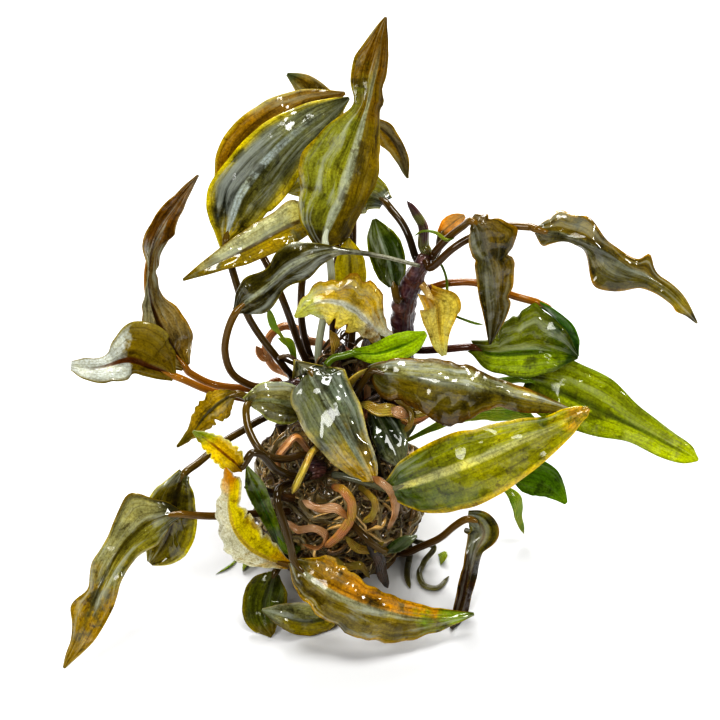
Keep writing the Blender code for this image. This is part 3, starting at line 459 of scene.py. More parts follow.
        blade=[(275, 573, -30, 1.8, 1.8), (269, 586, -33, 6.2, 6), (264, 603, -37, 6.8, 6.6),
               (265, 621, -41, 5.6, 5.6), (272, 636, -44, 0.8, 0.8)]),
    "leaf_lower_front": dict(
        anchor="root_ball", keel=-10, wave=(0.4, 2),
        petiole=[(312, 572, -25), (330, 586, -30), (338, 600, -35)],
        blade=[(337, 612, -38, 2, 2), (325, 619, -40, 4, 4.6), (305, 621, -42, 4.6, 5.4),
               (284, 617, -43, 3.4, 4.2), (262, 610, -44, 0.5, 0.5)]),
    "leaf_twisted_right": dict(
        anchor="root_ball", keel=-18, wave=(0.6, 2),
        petiole=[(402, 553, -14), (420, 547, -17), (440, 538, -20), (456, 525, -22)],
        blade=[(468, 519, -23, 2.6, 2.2), (480, 524, -24, 4.4, 5), (484, 535, -25, 5, 6),
               (475, 552, -27, 3, 3.2, -15), (470, 572, -29, 3.4, 3.2, -35),
               (466, 592, -31.5, 2.8, 2.8, -20), (460, 614, -35, 2.4, 2.4),
               (451, 641, -41, 0.5, 0.5)]),
    "leaf_young_green": dict(
        anchor="root_ball", keel=14, wave=(0.2, 2),
        petiole=[(342, 432, 2), (338, 400, 4), (334, 378, 3), (326, 368, 3), (332, 359, 4), (346, 355, 4)],
        blade=[(354, 353, 4, 1.4, 1.4), (374, 354, 3.5, 3.2, 3.2), (396, 348, 3, 4.3, 4.3),
               (413, 341, 2.5, 3.6, 3.6), (426, 333, 2, 0.9, 0.9)]),
    "leaf_green_tip": dict(
        anchor="root_ball", keel=-10, wave=(0.3, 2),
        petiole=[(424, 498, -14), (465, 489, -18), (500, 478, -21)],
        blade=[(510, 475, -21, 1.6, 1.6), (524, 476, -22, 5, 4.8), (543, 481, -23, 5.4, 5),
               (556, 491, -24, 3.4, 3.2), (566, 503, -24, 0.6, 0.6)]),
    "leaf_pale_old": dict(
        anchor="rhizome_right", lobe=3.0, keel=-8, wave=(0.7, 3), jagged=0.5,
        petiole=[(401, 342, 10), (394, 344, 8.5)],
        blade=[(387, 342, 8, 2, 2.6), (376, 331, 7.5, 4, 5), (362, 317, 7, 6.4, 9),
               (346, 306, 6.5, 7.2, 9.8), (328, 301, 6.5, 6.8, 6.8), (311, 305, 6.5, 4.2, 4),
               (295, 317, 6.5, 0.5, 0.5)]),
    "leaf_pale_sheath": dict(
        anchor="rhizome_right", lobe=3.0, keel=16, wave=(0.5, 2),
        petiole=[(426, 290, 10.5), (428, 293, 9)],
        blade=[(430, 296, 8, 2.6, 2.6), (437, 304, 7.5, 6.8, 5.6), (438, 314, 7, 6.2, 5.4),
               (439, 328, 6.5, 3.8, 4), (441, 343, 6, 2.2, 2.8), (444, 355, 6, 0.8, 0.8)]),
    "leaf_dark_centre": dict(
        anchor="root_ball", keel=-16, wave=(0.5, 2),
        petiole=[(372, 432, -3), (371, 418, -5)],
        blade=[(373, 409, -7, 1.8, 1.8), (379, 419, -10, 5, 4), (387, 434, -14, 5.6, 5),
               (395, 451, -18, 4.4, 5), (402, 468, -21, 0.6, 0.6)]),
    "leaf_tip_behind": dict(
        anchor="rhizome_left", keel=10, wave=(0.4, 2),
        petiole=[(331, 371, 21), (334, 300, 27), (339, 240, 37), (341, 190, 49), (338, 150, 58)],
        blade=[(334, 135, 61, 1.8, 1.8), (326, 115, 63, 6, 6), (312, 93, 65, 4.6, 4.6),
               (300, 82, 66, 3, 3), (287, 74, 67, 0.5, 0.5)]),
    "leaf_curling_behind": dict(
        anchor="rhizome_left", keel=14, wave=(0.3, 2),
        petiole=[(346, 376, 22), (351, 300, 29), (353, 240, 38), (353, 190, 46), (355, 150, 51)],
        blade=[(362, 133, 52, 2, 2, 45), (377, 126, 52, 4.6, 4.6, 45), (392, 138, 51, 4, 4.4, 45),
               (401, 156, 50, 3, 3.6, 45), (408, 178, 49, 0.4, 0.4, 45)]),
    "leaf_knee": dict(
        anchor="rhizome_right", keel=-10, wave=(0.6, 2),
        petiole=[(413, 252, 19), (409, 237, 20), (402, 223, 23), (391, 209, 27)],
        blade=[(385, 202, 30, 2.6, 2.6), (374, 195, 35, 6, 5), (350, 186, 42, 8, 7.6),
               (322, 183, 47, 8, 8), (303, 186, 49, 5, 5), (288, 192, 51, 0.6, 0.6)]),
    "leaf_dark_upright": dict(
        anchor="rhizome_right", keel=14, wave=(0.4, 2),
        petiole=[(398, 300, 12), (396, 293, 13)],
        blade=[(394, 286, 13.5, 1.8, 1.8), (391, 273, 14.5, 4.4, 4.4), (387, 255, 16, 5.4, 5.4),
               (380, 236, 18, 4.4, 4.4), (374, 219, 20, 0.7, 0.7)]),
    "leaf_yellow_behind": dict(
        anchor="rhizome_left", keel=8, wave=(0.3, 2),
        petiole=[(352, 366, 17), (352, 335, 17.5), (351, 306, 19)],
        blade=[(351, 296, 20, 1.8, 1.8), (351, 284, 20.5, 4.4, 4.4), (350, 266, 21, 4.8, 4.8),
               (349, 250, 21.5, 3.2, 3.2), (348, 238, 22, 0.5, 0.5)]),
    "leaf_withered_stub": dict(
        anchor="rhizome_right", keel=20, wave=(0.4, 2),
        petiole=[(431, 262, 19), (438, 250, 21), (440, 240, 21)],
        blade=[(442, 233, 21, 1.6, 1.6), (449, 226, 21.5, 2.8, 2.8), (457, 220, 21.5, 2.4, 2.4),
               (465, 216, 21.5, 0.6, 0.6)]),
    "leaf_small_dark": dict(
        anchor="root_ball", keel=10, wave=(0.1, 1),
        petiole=[(352, 527, -29), (368, 540, -29), (380, 549, -28)],
        blade=[(386, 550, -27, 1, 1), (395, 547, -27, 1.9, 1.9), (406, 541, -27, 1.8, 1.8),
               (417, 536, -27, 0.4, 0.4)]),
    "leaf_back_low_left": dict(
        anchor="root_ball", keel=16, wave=(0.5, 2),
        petiole=[(326, 399, 24), (320, 372, 33), (312, 371, 38)],
        blade=[(306, 381, 41, 1.6, 1.6, 180), (303, 399, 43, 5, 5, 180), (300, 418, 45, 6, 6, 180),
               (301, 431, 48, 4, 4, 180), (304, 438, 52, 0.5, 0.5, 180)]),
    "leaf_back_low_right": dict(
        anchor="root_ball", keel=18, wave=(0.5, 2),
        petiole=[(382, 413, 22), (393, 386, 31), (400, 386, 36)],
        blade=[(403, 399, 39, 1.6, 1.6, 180), (403, 410, 40, 4.6, 4.6, 180), (401, 426, 41, 5.4, 5.4, 180),
               (398, 438, 43, 3.4, 3.4, 180), (393, 447, 46, 0.5, 0.5, 180)]),
}
print(len(LEAVES), "leaves in the table")

# %% [markdown]
# ## Colours of the leaves
# Old leaves under water turn olive, slate and orange, and young ones are fresh green. Seven
# colours describe a leaf well enough: the base, the left and the right half, the tip, the
# margin, the midrib and the petiole. They are written as a painter would mix them, from 0 to
# 255, and the petiole's as a word. Two more numbers say how much of the leaf is wet and how
# much light comes through. What else an entry can set has a usual value, given first.

# %% Looks table
PATCH_SHARE = 0.62


def look(base, left, right, tip, margin, rib, petiole, wet, glow, **rest):
    """A leaf's colours and finish, with the usual value for whatever the rest leaves out."""
    usual = dict(sheen=(0.35, 0.35), base_end=0.24, tip_start=0.66, tip_fade=0.25, margin_width=0.2,
                 patch=tuple(int(value * PATCH_SHARE) for value in right),
                 mottle=0.45, contrast=0.6, pits=0.5, shade=0.75)
    colours = dict(Base=base, Left=left, Right=right, Tip=tip, Margin=margin, Rib=rib)
    return dict(usual, colours=colours, petiole=petiole, wet=wet, glow=glow, **rest)


# Some of these colours hold painted light: pale silvery halves, tips and midribs are a painted sheen, bright
# yellow margins are partly a painted glow of the backlight, and the dark base of leaf_top is a painted
# shadow. The sheen and shade entries set painted streaks, and one more entry sets how strong the clouds of
# painted light and shade are.
LOOKS = {
    "leaf_top": look((52, 44, 8), (140, 142, 66), (128, 114, 6), (122, 98, 6), (156, 140, 14),
        (164, 168, 146), "silver", 0.3, 0.45, sheen=(0.55, 0.1), tip_start=0.5, base_end=0.2,
        margin_width=0.14),
    "leaf_grey_left": look((150, 136, 40), (52, 54, 46), (86, 84, 46), (92, 94, 66), (176, 164, 8),
        (150, 158, 155), "olive", 0.4, 0.3, sheen=(0.42, 0.35), margin_width=0.4, tip_start=0.45,
        tip_fade=0.3, base_end=0.3),
    "leaf_back_orange": look((166, 126, 6), (142, 116, 6), (164, 120, 14), (140, 118, 66), (166, 150, 12),
        (124, 96, 50), "brown", 0.35, 0.5, sheen=(0.35, 0.2), tip_start=0.5),
    "leaf_pointed_left": look((96, 92, 24), (150, 134, 4), (200, 200, 164), (120, 106, 12), (130, 112, 14),
        (104, 88, 20), "brown", 0.7, 0.45, sheen=(0.0, 0.6)),
    "leaf_crossing": look((64, 58, 10), (66, 62, 22), (60, 56, 18), (176, 176, 160), (104, 96, 20),
        (128, 130, 108), "brown", 0.6, 0.25, sheen=(0.4, 0.45), tip_start=0.72),
    "leaf_tall_left": look((132, 112, 40), (170, 166, 140), (126, 112, 74), (112, 84, 26), (140, 112, 24),
        (84, 62, 36), "orange", 0.5, 0.3, sheen=(0.9, 0.75), tip_start=0.5),
    "leaf_curled_left": look((118, 102, 4), (122, 106, 6), (118, 104, 4), (180, 184, 182), (120, 108, 24),
        (84, 54, 20), "orange", 0.45, 0.35, tip_start=0.44, tip_fade=0.07, sheen=(0.2, 0.1), mottle=0.15,
        contrast=0.25),
    "leaf_small_left": look((120, 104, 24), (164, 142, 44), (152, 130, 36), (110, 100, 30), (150, 132, 50),
        (84, 76, 30), "olive", 0.6, 0.4, contrast=0.9, patch=(70, 60, 20)),
    "leaf_long_lower": look((60, 58, 10), (134, 130, 66), (140, 138, 100), (152, 130, 6), (152, 132, 10),
        (96, 90, 40), "brown", 0.7, 0.45, tip_start=0.5, tip_fade=0.2, sheen=(0.7, 0.7), margin_width=0.14,
        contrast=0.4, base_end=0.3),
    "leaf_spoon_left": look((96, 96, 60), (120, 114, 24), (110, 102, 24), (126, 116, 20), (186, 178, 20),
        (90, 80, 40), "olive", 0.7, 0.35, sheen=(0.15, 0.8)),
    "leaf_kinked": look((150, 120, 26), (212, 188, 50), (206, 180, 50), (130, 144, 14), (240, 232, 160),
        (150, 110, 30), "dark", 0.5, 0.5, contrast=0.8, shade=0.4),
    "leaf_yellow_front": look((214, 170, 20), (240, 234, 206), (236, 200, 10), (200, 150, 10),
        (246, 240, 210), (206, 186, 90), "brown", 0.45, 0.5, sheen=(0.2, 0.0), margin_width=0.3,
        contrast=0.25, tip_start=0.72, shade=0.3),
    "leaf_narrow_green": look((46, 58, 16), (84, 98, 24), (100, 116, 34), (120, 136, 50), (110, 124, 40),
        (70, 100, 30), "green", 0.4, 0.4),
    "leaf_centre_grey": look((70, 72, 44), (96, 104, 86), (104, 108, 70), (176, 150, 60), (180, 166, 90),
        (130, 136, 120), "olive", 0.9, 0.3, sheen=(0.5, 0.3), contrast=0.75, shade=0.9, tip_start=0.42,
        tip_fade=0.4),
    "leaf_grey_lobe": look((120, 116, 70), (150, 146, 100), (96, 92, 50), (120, 114, 50), (170, 176, 100),
        (120, 124, 90), "olive", 0.85, 0.3, sheen=(0.7, 0.4), contrast=0.8),
    "leaf_dark_right": look((70, 68, 16), (142, 140, 96), (104, 94, 20), (116, 106, 20), (110, 84, 8),
        (110, 108, 70), "dark", 0.8, 0.25, sheen=(0.8, 0.2), margin_width=0.42, contrast=0.8),
    "leaf_big_front_right": look((78, 96, 2), (156, 158, 28), (152, 152, 4), (226, 172, 84), (222, 186, 60),
        (200, 200, 140), "slate", 0.9, 0.5, patch=(84, 98, 6), sheen=(0.5, 0.1), contrast=0.8, mottle=0.35,
        tip_start=0.7, base_end=0.5, shade=0.5),
    "leaf_big_right": look((54, 60, 2), (140, 150, 12), (160, 172, 4), (182, 194, 6), (120, 134, 8),
        (104, 116, 8), "green", 0.6, 0.5, sheen=(0.25, 0.0), contrast=0.4, pits=0.2, base_end=0.42,
        shade=0.4),
    "leaf_green_middle": look((84, 84, 6), (112, 120, 14), (150, 166, 4), (60, 80, 16), (96, 108, 10),
        (90, 110, 20), "plum", 0.6, 0.45, sheen=(0.5, 0.1), contrast=0.6, shade=0.3),
    "leaf_edge_on": look((80, 112, 16), (72, 112, 20), (66, 106, 18), (60, 90, 20), (96, 136, 24),
        (60, 90, 24), "orange", 0.4, 0.3),
    "leaf_hanging_brown": look((94, 76, 12), (106, 92, 20), (82, 78, 40), (70, 64, 34), (150, 120, 10),
        (96, 88, 56), "brown", 0.75, 0.35, sheen=(0.2, 0.32), contrast=0.6),
    "leaf_far_right": look((86, 78, 36), (110, 96, 22), (94, 88, 44), (130, 120, 60), (160, 128, 10),
        (124, 124, 100), "brown", 0.9, 0.35, sheen=(0.3, 0.34), contrast=0.7),
    "leaf_bottom_front": look((118, 104, 34), (190, 144, 10), (132, 120, 56), (136, 156, 6), (176, 146, 16),
        (160, 160, 130), "dark", 0.75, 0.45, sheen=(0.2, 0.75), contrast=0.6, tip_start=0.74, tip_fade=0.16,
        base_end=0.5),
    "leaf_dark_lower": look((76, 76, 6), (72, 80, 4), (84, 88, 4), (96, 86, 6), (120, 112, 8), (60, 64, 16),
        "dark", 0.6, 0.3, sheen=(0.1, 0.1), margin_width=0.3),
    "leaf_lower_front": look((120, 116, 40), (140, 130, 26), (140, 140, 96), (130, 134, 110), (140, 122, 20),
        (90, 90, 50), "olive", 0.8, 0.4, sheen=(0.1, 0.6)),
    "leaf_twisted_right": look((120, 116, 24), (92, 88, 26), (72, 70, 34), (54, 38, 6), (120, 96, 30),
        (84, 70, 36), "brown", 0.5, 0.25, sheen=(0.3, 0.3), contrast=0.8, tip_start=0.35, tip_fade=0.2),
    "leaf_young_green": look((120, 146, 6), (160, 186, 4), (166, 190, 4), (164, 190, 6), (150, 176, 12),
        (110, 140, 6), "green", 0.5, 0.4, contrast=0.3, pits=0.0, sheen=(0.1, 0.1), shade=0.2),
    "leaf_green_tip": look((70, 90, 6), (84, 112, 2), (92, 118, 2), (110, 138, 6), (76, 104, 6),
        (90, 120, 10), "green", 0.5, 0.45, contrast=0.3, pits=0.1, sheen=(0.15, 0.1), shade=0.2),
    "leaf_pale_old": look((226, 228, 220), (222, 200, 120), (190, 168, 76), (202, 206, 120), (150, 116, 40),
        (222, 220, 206), "dark", 0.6, 0.5, patch=(150, 118, 40), sheen=(0.7, 0.6), margin_width=0.12,
        base_end=0.4, shade=0.4),
    "leaf_pale_sheath": look((150, 120, 50), (206, 194, 120), (212, 200, 136), (220, 212, 160),
        (206, 180, 90), (196, 176, 100), "pale", 0.4, 0.55, patch=(176, 146, 60), shade=0.4),
    "leaf_dark_centre": look((36, 40, 24), (44, 52, 26), (50, 58, 30), (110, 112, 84), (90, 92, 60),
        (80, 84, 66), "dark", 0.75, 0.2),
    "leaf_tip_behind": look((120, 108, 60), (126, 114, 66), (130, 114, 56), (96, 104, 76), (150, 126, 40),
        (110, 96, 50), "brown", 0.3, 0.45),
    "leaf_curling_behind": look((110, 100, 60), (140, 132, 112), (160, 138, 60), (132, 122, 90),
        (172, 146, 40), (120, 110, 90), "brown", 0.4, 0.4),
    "leaf_knee": look((70, 76, 74), (120, 122, 50), (150, 150, 20), (150, 146, 30), (160, 156, 20),
        (130, 132, 100), "dark", 0.8, 0.45, sheen=(0.6, 0.3)),
    "leaf_dark_upright": look((64, 72, 24), (72, 80, 30), (60, 74, 24), (96, 106, 50), (120, 128, 20),
        (128, 140, 116), "olive", 0.6, 0.45, sheen=(0.6, 0.3)),
    "leaf_yellow_behind": look((150, 150, 40), (190, 184, 40), (180, 170, 50), (196, 180, 30), (200, 190, 70),
        (160, 150, 50), "olive", 0.4, 0.55),
    "leaf_withered_stub": look((150, 110, 50), (200, 152, 84), (190, 140, 70), (170, 130, 70), (210, 150, 60),
        (160, 120, 60), "olive", 0.3, 0.5, patch=(150, 96, 40)),
    "leaf_small_dark": look((60, 66, 40), (64, 76, 40), (60, 70, 34), (90, 100, 60), (96, 104, 66),
        (70, 76, 40), "olive", 0.6, 0.3, sheen=(0.2, 0.2)),
    "leaf_back_low_left": look((80, 78, 36), (104, 104, 38), (112, 106, 34), (128, 108, 30), (140, 124, 36),
        (92, 88, 40), "brown", 0.5, 0.35),
    "leaf_back_low_right": look((50, 62, 22), (60, 84, 26), (54, 76, 22), (80, 100, 30), (92, 108, 36),
        (56, 74, 26), "olive", 0.5, 0.35),
}
print(len(LOOKS), "leaves have their colours")

# %% Paint
VIVID = 1.15
BRIGHT = 1.35
GAMMA = 2.2
PALEST = 0.92
DARKEST = 0.004


def paint(red, green, blue):
    """A painter's colour from 0 to 255, as the linear colour that a shader wants."""
    return tuple((value / 255) ** GAMMA for value in (red, green, blue)) + (1.0,)


def leaf_paint(red, green, blue):
    """The same, more vivid and brighter, because a wet leaf's own shine greys it again."""
    linear = paint(red, green, blue)[:3]
    grey = sum(linear) / 3
    vivid = [max(grey + (value - grey) * VIVID, DARKEST) * BRIGHT for value in linear]
    return tuple(min(value, PALEST) for value in vivid) + (1.0,)


sample = leaf_paint(*LOOKS["leaf_big_right"]["colours"]["Left"])
print("the green of leaf_big_right as a linear colour:", [round(value, 3) for value in sample])

# %% [markdown]
# ## One skin for blades, stalks and roots
# All these pieces are lofts: rings of points along a route, joined ring to ring and closed at
# both ends. Modifiers could thicken a flat sheet, but with a loft each point can also carry
# where it lies on the leaf: how far across, from -1 to 1, how far along, from -1 to 0 on the
# stalk and from 0 to 1 on the blade, and whether it is on the underside. The materials read
# these three numbers later.

# %% Loft
def lofted(name, strands):
    """One object from several lofts. A strand is its rings and its material slot, and each ring
    is a list of (point, across, along, underside)."""
    mesh = bpy.data.meshes.new(name)
    shape = bmesh.new()
    layers = [shape.verts.layers.float.new(word) for word in ("across", "along", "underside")]
    for rings, slot in strands:
        rows = []
        for ring in rings:
            row = []
            for point, *marks in ring:
                vert = shape.verts.new(point)
                for layer, mark in zip(layers, marks):
                    vert[layer] = mark
                row.append(vert)
            rows.append(row)
        count = len(rows[0])
        faces = [shape.faces.new(rows[0][::-1]), shape.faces.new(rows[-1])]
        for lower, upper in zip(rows, rows[1:]):
            for i in range(count):
                j = (i + 1) % count
                faces.append(shape.faces.new((lower[i], lower[j], upper[j], upper[i])))
        for face in faces:
            face.material_index = slot
            face.smooth = True
    bmesh.ops.recalc_face_normals(shape, faces=shape.faces[:])
    shape.to_mesh(mesh)
    shape.free()
    return placed(name, mesh)


def ring_ways(side, normal, count, flat=1.0):
    """The directions from the middle of a ring to its points, each with its turn in radians."""
    turns = [2 * math.pi * i / count for i in range(count)]
    return [(side * math.cos(turn) + normal * math.sin(turn) * flat, turn) for turn in turns]


SEEDS = 1000


def seed_of(name):
    """A number that belongs to a name, so that each piece varies in its own way on every run."""
    return zlib.crc32(name.encode()) % SEEDS


# %% [markdown]
# ## The petiole and midrib
# The petiole doesn't stop where the blade begins. It runs on under the blade as the midrib
# and gets thinner towards the tip, so one tapering tube makes both. It sinks below the blade
# so that only its top shows between the two halves.

# %% Petiole tube
PETIOLE_RADIUS = 1.15 * MM
PETIOLE_STEPS = 34
FOOT_STEPS = 3
RIB_END_RADIUS = 0.22 * MM
RIB_END = 0.92
RIB_TAPER = 0.6
RIB_TAPER_PACE = 1.15
RIB_SINK = 1.1
RIB_SINK_PACE = 6
TUBE_SIDES = 12
BLADE_STEPS = 66


def facing_side(tangent):
    """The left hand of someone who walks along the tangent with the viewer overhead."""
    return TOWARD.cross(tangent).normalized()


def tube_ring(centre, side, normal, radius, along):
    return [(centre + way * radius, math.cos(turn), along, 0.0 if math.sin(turn) > 0 else 1.0)
            for way, turn in ring_ways(side, normal, TUBE_SIDES)]


# %% [markdown]
# ## The blade
# A blade is two halves that rise or fall from the midrib at the keel angle. Each half is
# gently puffed up between midrib and margin, the margin swings up and down in slow waves, and
# soft buckles and low ribs ride on those. The outline isn't clean either: it wanders by a few
# percent, and some old leaves are jagged or bitten into. On some leaves the margins reach back
# beyond the petiole's end as two lobes. The blade is 0.4 mm thick and thins to its edge.

# %% Blade outline
WANDER = 0.05
WANDER_TURNS = 9
WANDER_SIDE = 3.7
TOOTH_TURNS = 14
TOOTH_SIDE = 9.1
TOOTH_SEED = 5
TOOTH_LIMIT = 0.12


def margin_reach(leaf, along, sign, seed):
    """How far out the margin lies at a place along the leaf, as a share of the half width."""
    reach = 1 + WANDER * noise.noise(Vector((along * WANDER_TURNS, sign * WANDER_SIDE, seed)))
    if leaf.get("jagged"):
        tooth = noise.noise(Vector((along * TOOTH_TURNS, sign * TOOTH_SIDE, seed + TOOTH_SEED)))
        reach += leaf["jagged"] * min(tooth, TOOTH_LIMIT)
    for spot, side, depth, width in leaf.get("bites", ()):
        if side * sign > 0:
            reach -= depth * math.exp(-((along - spot) / width) ** 2)
    return reach


# %% Blade folds
BUCKLE = 1.9 * MM
BUCKLE_SIZE = 8 * MM
BUCKLE_SEED = 11
FINE_BUCKLE = 0.5
FINE_BUCKLE_TURNS = 2.1
BUCKLE_RISE = 1.6
RIB_HEIGHT = 0.1 * MM
RIB_SPACING = 4.2 * MM
RIB_SLANT = 0.9


def crinkle(run, out, share, seed):
    """The height of the small folds at a spot: soft buckles, and low ribs along the side veins."""
    spot = Vector((run / BUCKLE_SIZE, out / BUCKLE_SIZE, seed + BUCKLE_SEED))
    buckle = noise.noise(spot) + FINE_BUCKLE * noise.noise(spot * FINE_BUCKLE_TURNS)
    rib = math.cos(2 * math.pi * (run - abs(out) * RIB_SLANT) / RIB_SPACING)
    return BUCKLE * buckle * min(share * BUCKLE_RISE, 1) + RIB_HEIGHT * rib * math.sin(math.pi * share)


# %% Blade rings
ACROSS_STEPS = 12
BLADE_HALF = 0.2 * MM
EDGE_HALF = 0.07 * MM
EDGE_THINNING = 4
PUFF = 0.07
WAVE_RISE = 1.74
WAVE_LAG = 1.7
FULL_FOLD_WIDTH = 5 * MM
LOBE_FADE = 6.0
LOBE_RAGGED = 0.6
LOBE_TURNS = 3
LOBE_SEED = 4
FLOOR_CLEARANCE = 0.5 * MM


def blade_ring(leaf, centre, turned, upper, onward, halves, lifts, along, seed):
    """A closed ring round the blade at one place: along the upper face and back underneath."""
    lobe = leaf.get("lobe", 0.0) * MM * max(1 - along * LOBE_FADE, 0) ** 2
    keel = math.radians(leaf["keel"])
    top, bottom = [], []
    for j in range(-ACROSS_STEPS, ACROSS_STEPS + 1):
        across = -j / ACROSS_STEPS
        share = abs(across)
        sign, width, lift = (1, halves[0], lifts[0]) if across >= 0 else (-1, halves[1], lifts[1])
        out = width * share * margin_reach(leaf, along, sign, seed)
        rise = out * math.sin(keel) + lift * share**WAVE_RISE
        rise += width * PUFF * math.sin(math.pi * share)
        fold = crinkle(along * leaf["length"], across * width, share, seed)
        rise += fold * min(width / FULL_FOLD_WIDTH, 1)
        point = centre + turned * sign * out * math.cos(keel) + upper * rise
        ragged = 1 + LOBE_RAGGED * noise.noise(Vector((across * LOBE_TURNS, seed, LOBE_SEED)))
        point -= onward * lobe * share**2 * ragged
        half = BLADE_HALF + (EDGE_HALF - BLADE_HALF) * share**EDGE_THINNING
        for row, way, under in ((top, half, 0.0), (bottom, -half, 1.0)):
            row.append((above_floor(point + upper * way, FLOOR_CLEARANCE), across, along, under))
    return top + bottom[::-1]


# %% Whole leaves
def leaf_samples(leaf):
    """The leaf's route at every step, from its foot to its tip: point, roll and half widths."""
    petiole = [list(sighted(*spot)) + [0.0, 0.0, 0.0] for spot in leaf["petiole"]]
    blade = []
    for across, down, back, left, right, *rolled in leaf["blade"]:
        roll = math.radians(rolled[0]) if rolled else 0.0
        blade.append([*sighted(across, down, back), roll, left * MM, right * MM])
    petiole = planted(petiole, carriers[leaf["anchor"]], PETIOLE_RADIUS)
    for row in petiole:
        row[3:] = blade[0][3], blade[0][4], blade[0][4]
    rows = petiole + blade
    join = len(petiole)
    spots = even_spots(PETIOLE_STEPS, 0, join)[:-1] + even_spots(BLADE_STEPS, join, len(rows) - 1)
    return smooth_rows(rows, spots)


def leaf_piece(name, leaf):
    """A whole leaf: the blade as strand one and the petiole with its midrib as strand two."""
    seed = seed_of(name)
    samples = leaf_samples(leaf)
    points = [Vector(sample[:3]) for sample in samples]
    for i in range(FOOT_STEPS, PETIOLE_STEPS):
        points[i] = outside(points[i], PETIOLE_RADIUS)
    for point in points:
        above_floor(point, PETIOLE_RADIUS)
    ways = tangents(points)
    leaf["length"] = run_length(points[PETIOLE_STEPS:])
    wave_height, wave_count = leaf["wave"]
    blade_rings, rib_rings = [], []
    for i in range(PETIOLE_STEPS, len(points)):
        roll, left, right = samples[i][3:]
        along = (i - PETIOLE_STEPS) / BLADE_STEPS
        side = facing_side(ways[i])
        normal = ways[i].cross(side)
        turned = side * math.cos(roll) + normal * math.sin(roll)
        upper = normal * math.cos(roll) - side * math.sin(roll)
        swing = wave_height * MM * math.sin(math.pi * along)
        phase = 2 * math.pi * wave_count * along
        lifts = (swing * math.sin(phase), swing * math.sin(phase + WAVE_LAG))
        halves = (max(left, EDGE_HALF), max(right, EDGE_HALF))
        blade_rings.append(blade_ring(leaf, points[i], turned, upper, ways[i], halves, lifts, along, seed))
        thinned = min(along * RIB_TAPER_PACE, 1) ** RIB_TAPER
        radius = PETIOLE_RADIUS + (RIB_END_RADIUS - PETIOLE_RADIUS) * thinned
        if along < leaf.get("rib_end", RIB_END):
            sunk = points[i] - upper * radius * RIB_SINK * min(along * RIB_SINK_PACE, 1)
            rib_rings.append(tube_ring(sunk, turned, upper, radius, along))
        if i == PETIOLE_STEPS:
            side_at_join = turned

    stalk_rings = []
    downward = range(PETIOLE_STEPS - 1, -1, -1)
    for i, side in zip(downward, carried_sides([ways[i] for i in downward], side_at_join)):
        along = i / PETIOLE_STEPS - 1
        stalk_rings.append(tube_ring(points[i], side, ways[i].cross(side), PETIOLE_RADIUS, along))
    return lofted(name + "_leaf", [(blade_rings, 0), (stalk_rings[::-1] + rib_rings, 1)])


leaf_objects = {name: leaf_piece(name, leaf) for name, leaf in LEAVES.items()}
for name, obj in leaf_objects.items():
    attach(obj, "root")
    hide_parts(name)
print(len(leaf_objects), "leaves,", sum(len(obj.data.polygons) for obj in leaf_objects.values()), "faces")

# %% [markdown]
# ## Node groups for the leaf
# Every leaf needs the same five things in its material: zones of colour, veins, blotches with
# clouds of painted light and shade, streaks of painted sheen and shade, and a wet film. Each is a
# node group, built once, and each leaf sets its own values on it. The groups read the numbers that
# the loft stored on every point, so they follow the leaf wherever it bends. A group only hands out
# colours, masks and heights. The shaders that use them stay in the leaf's own material.

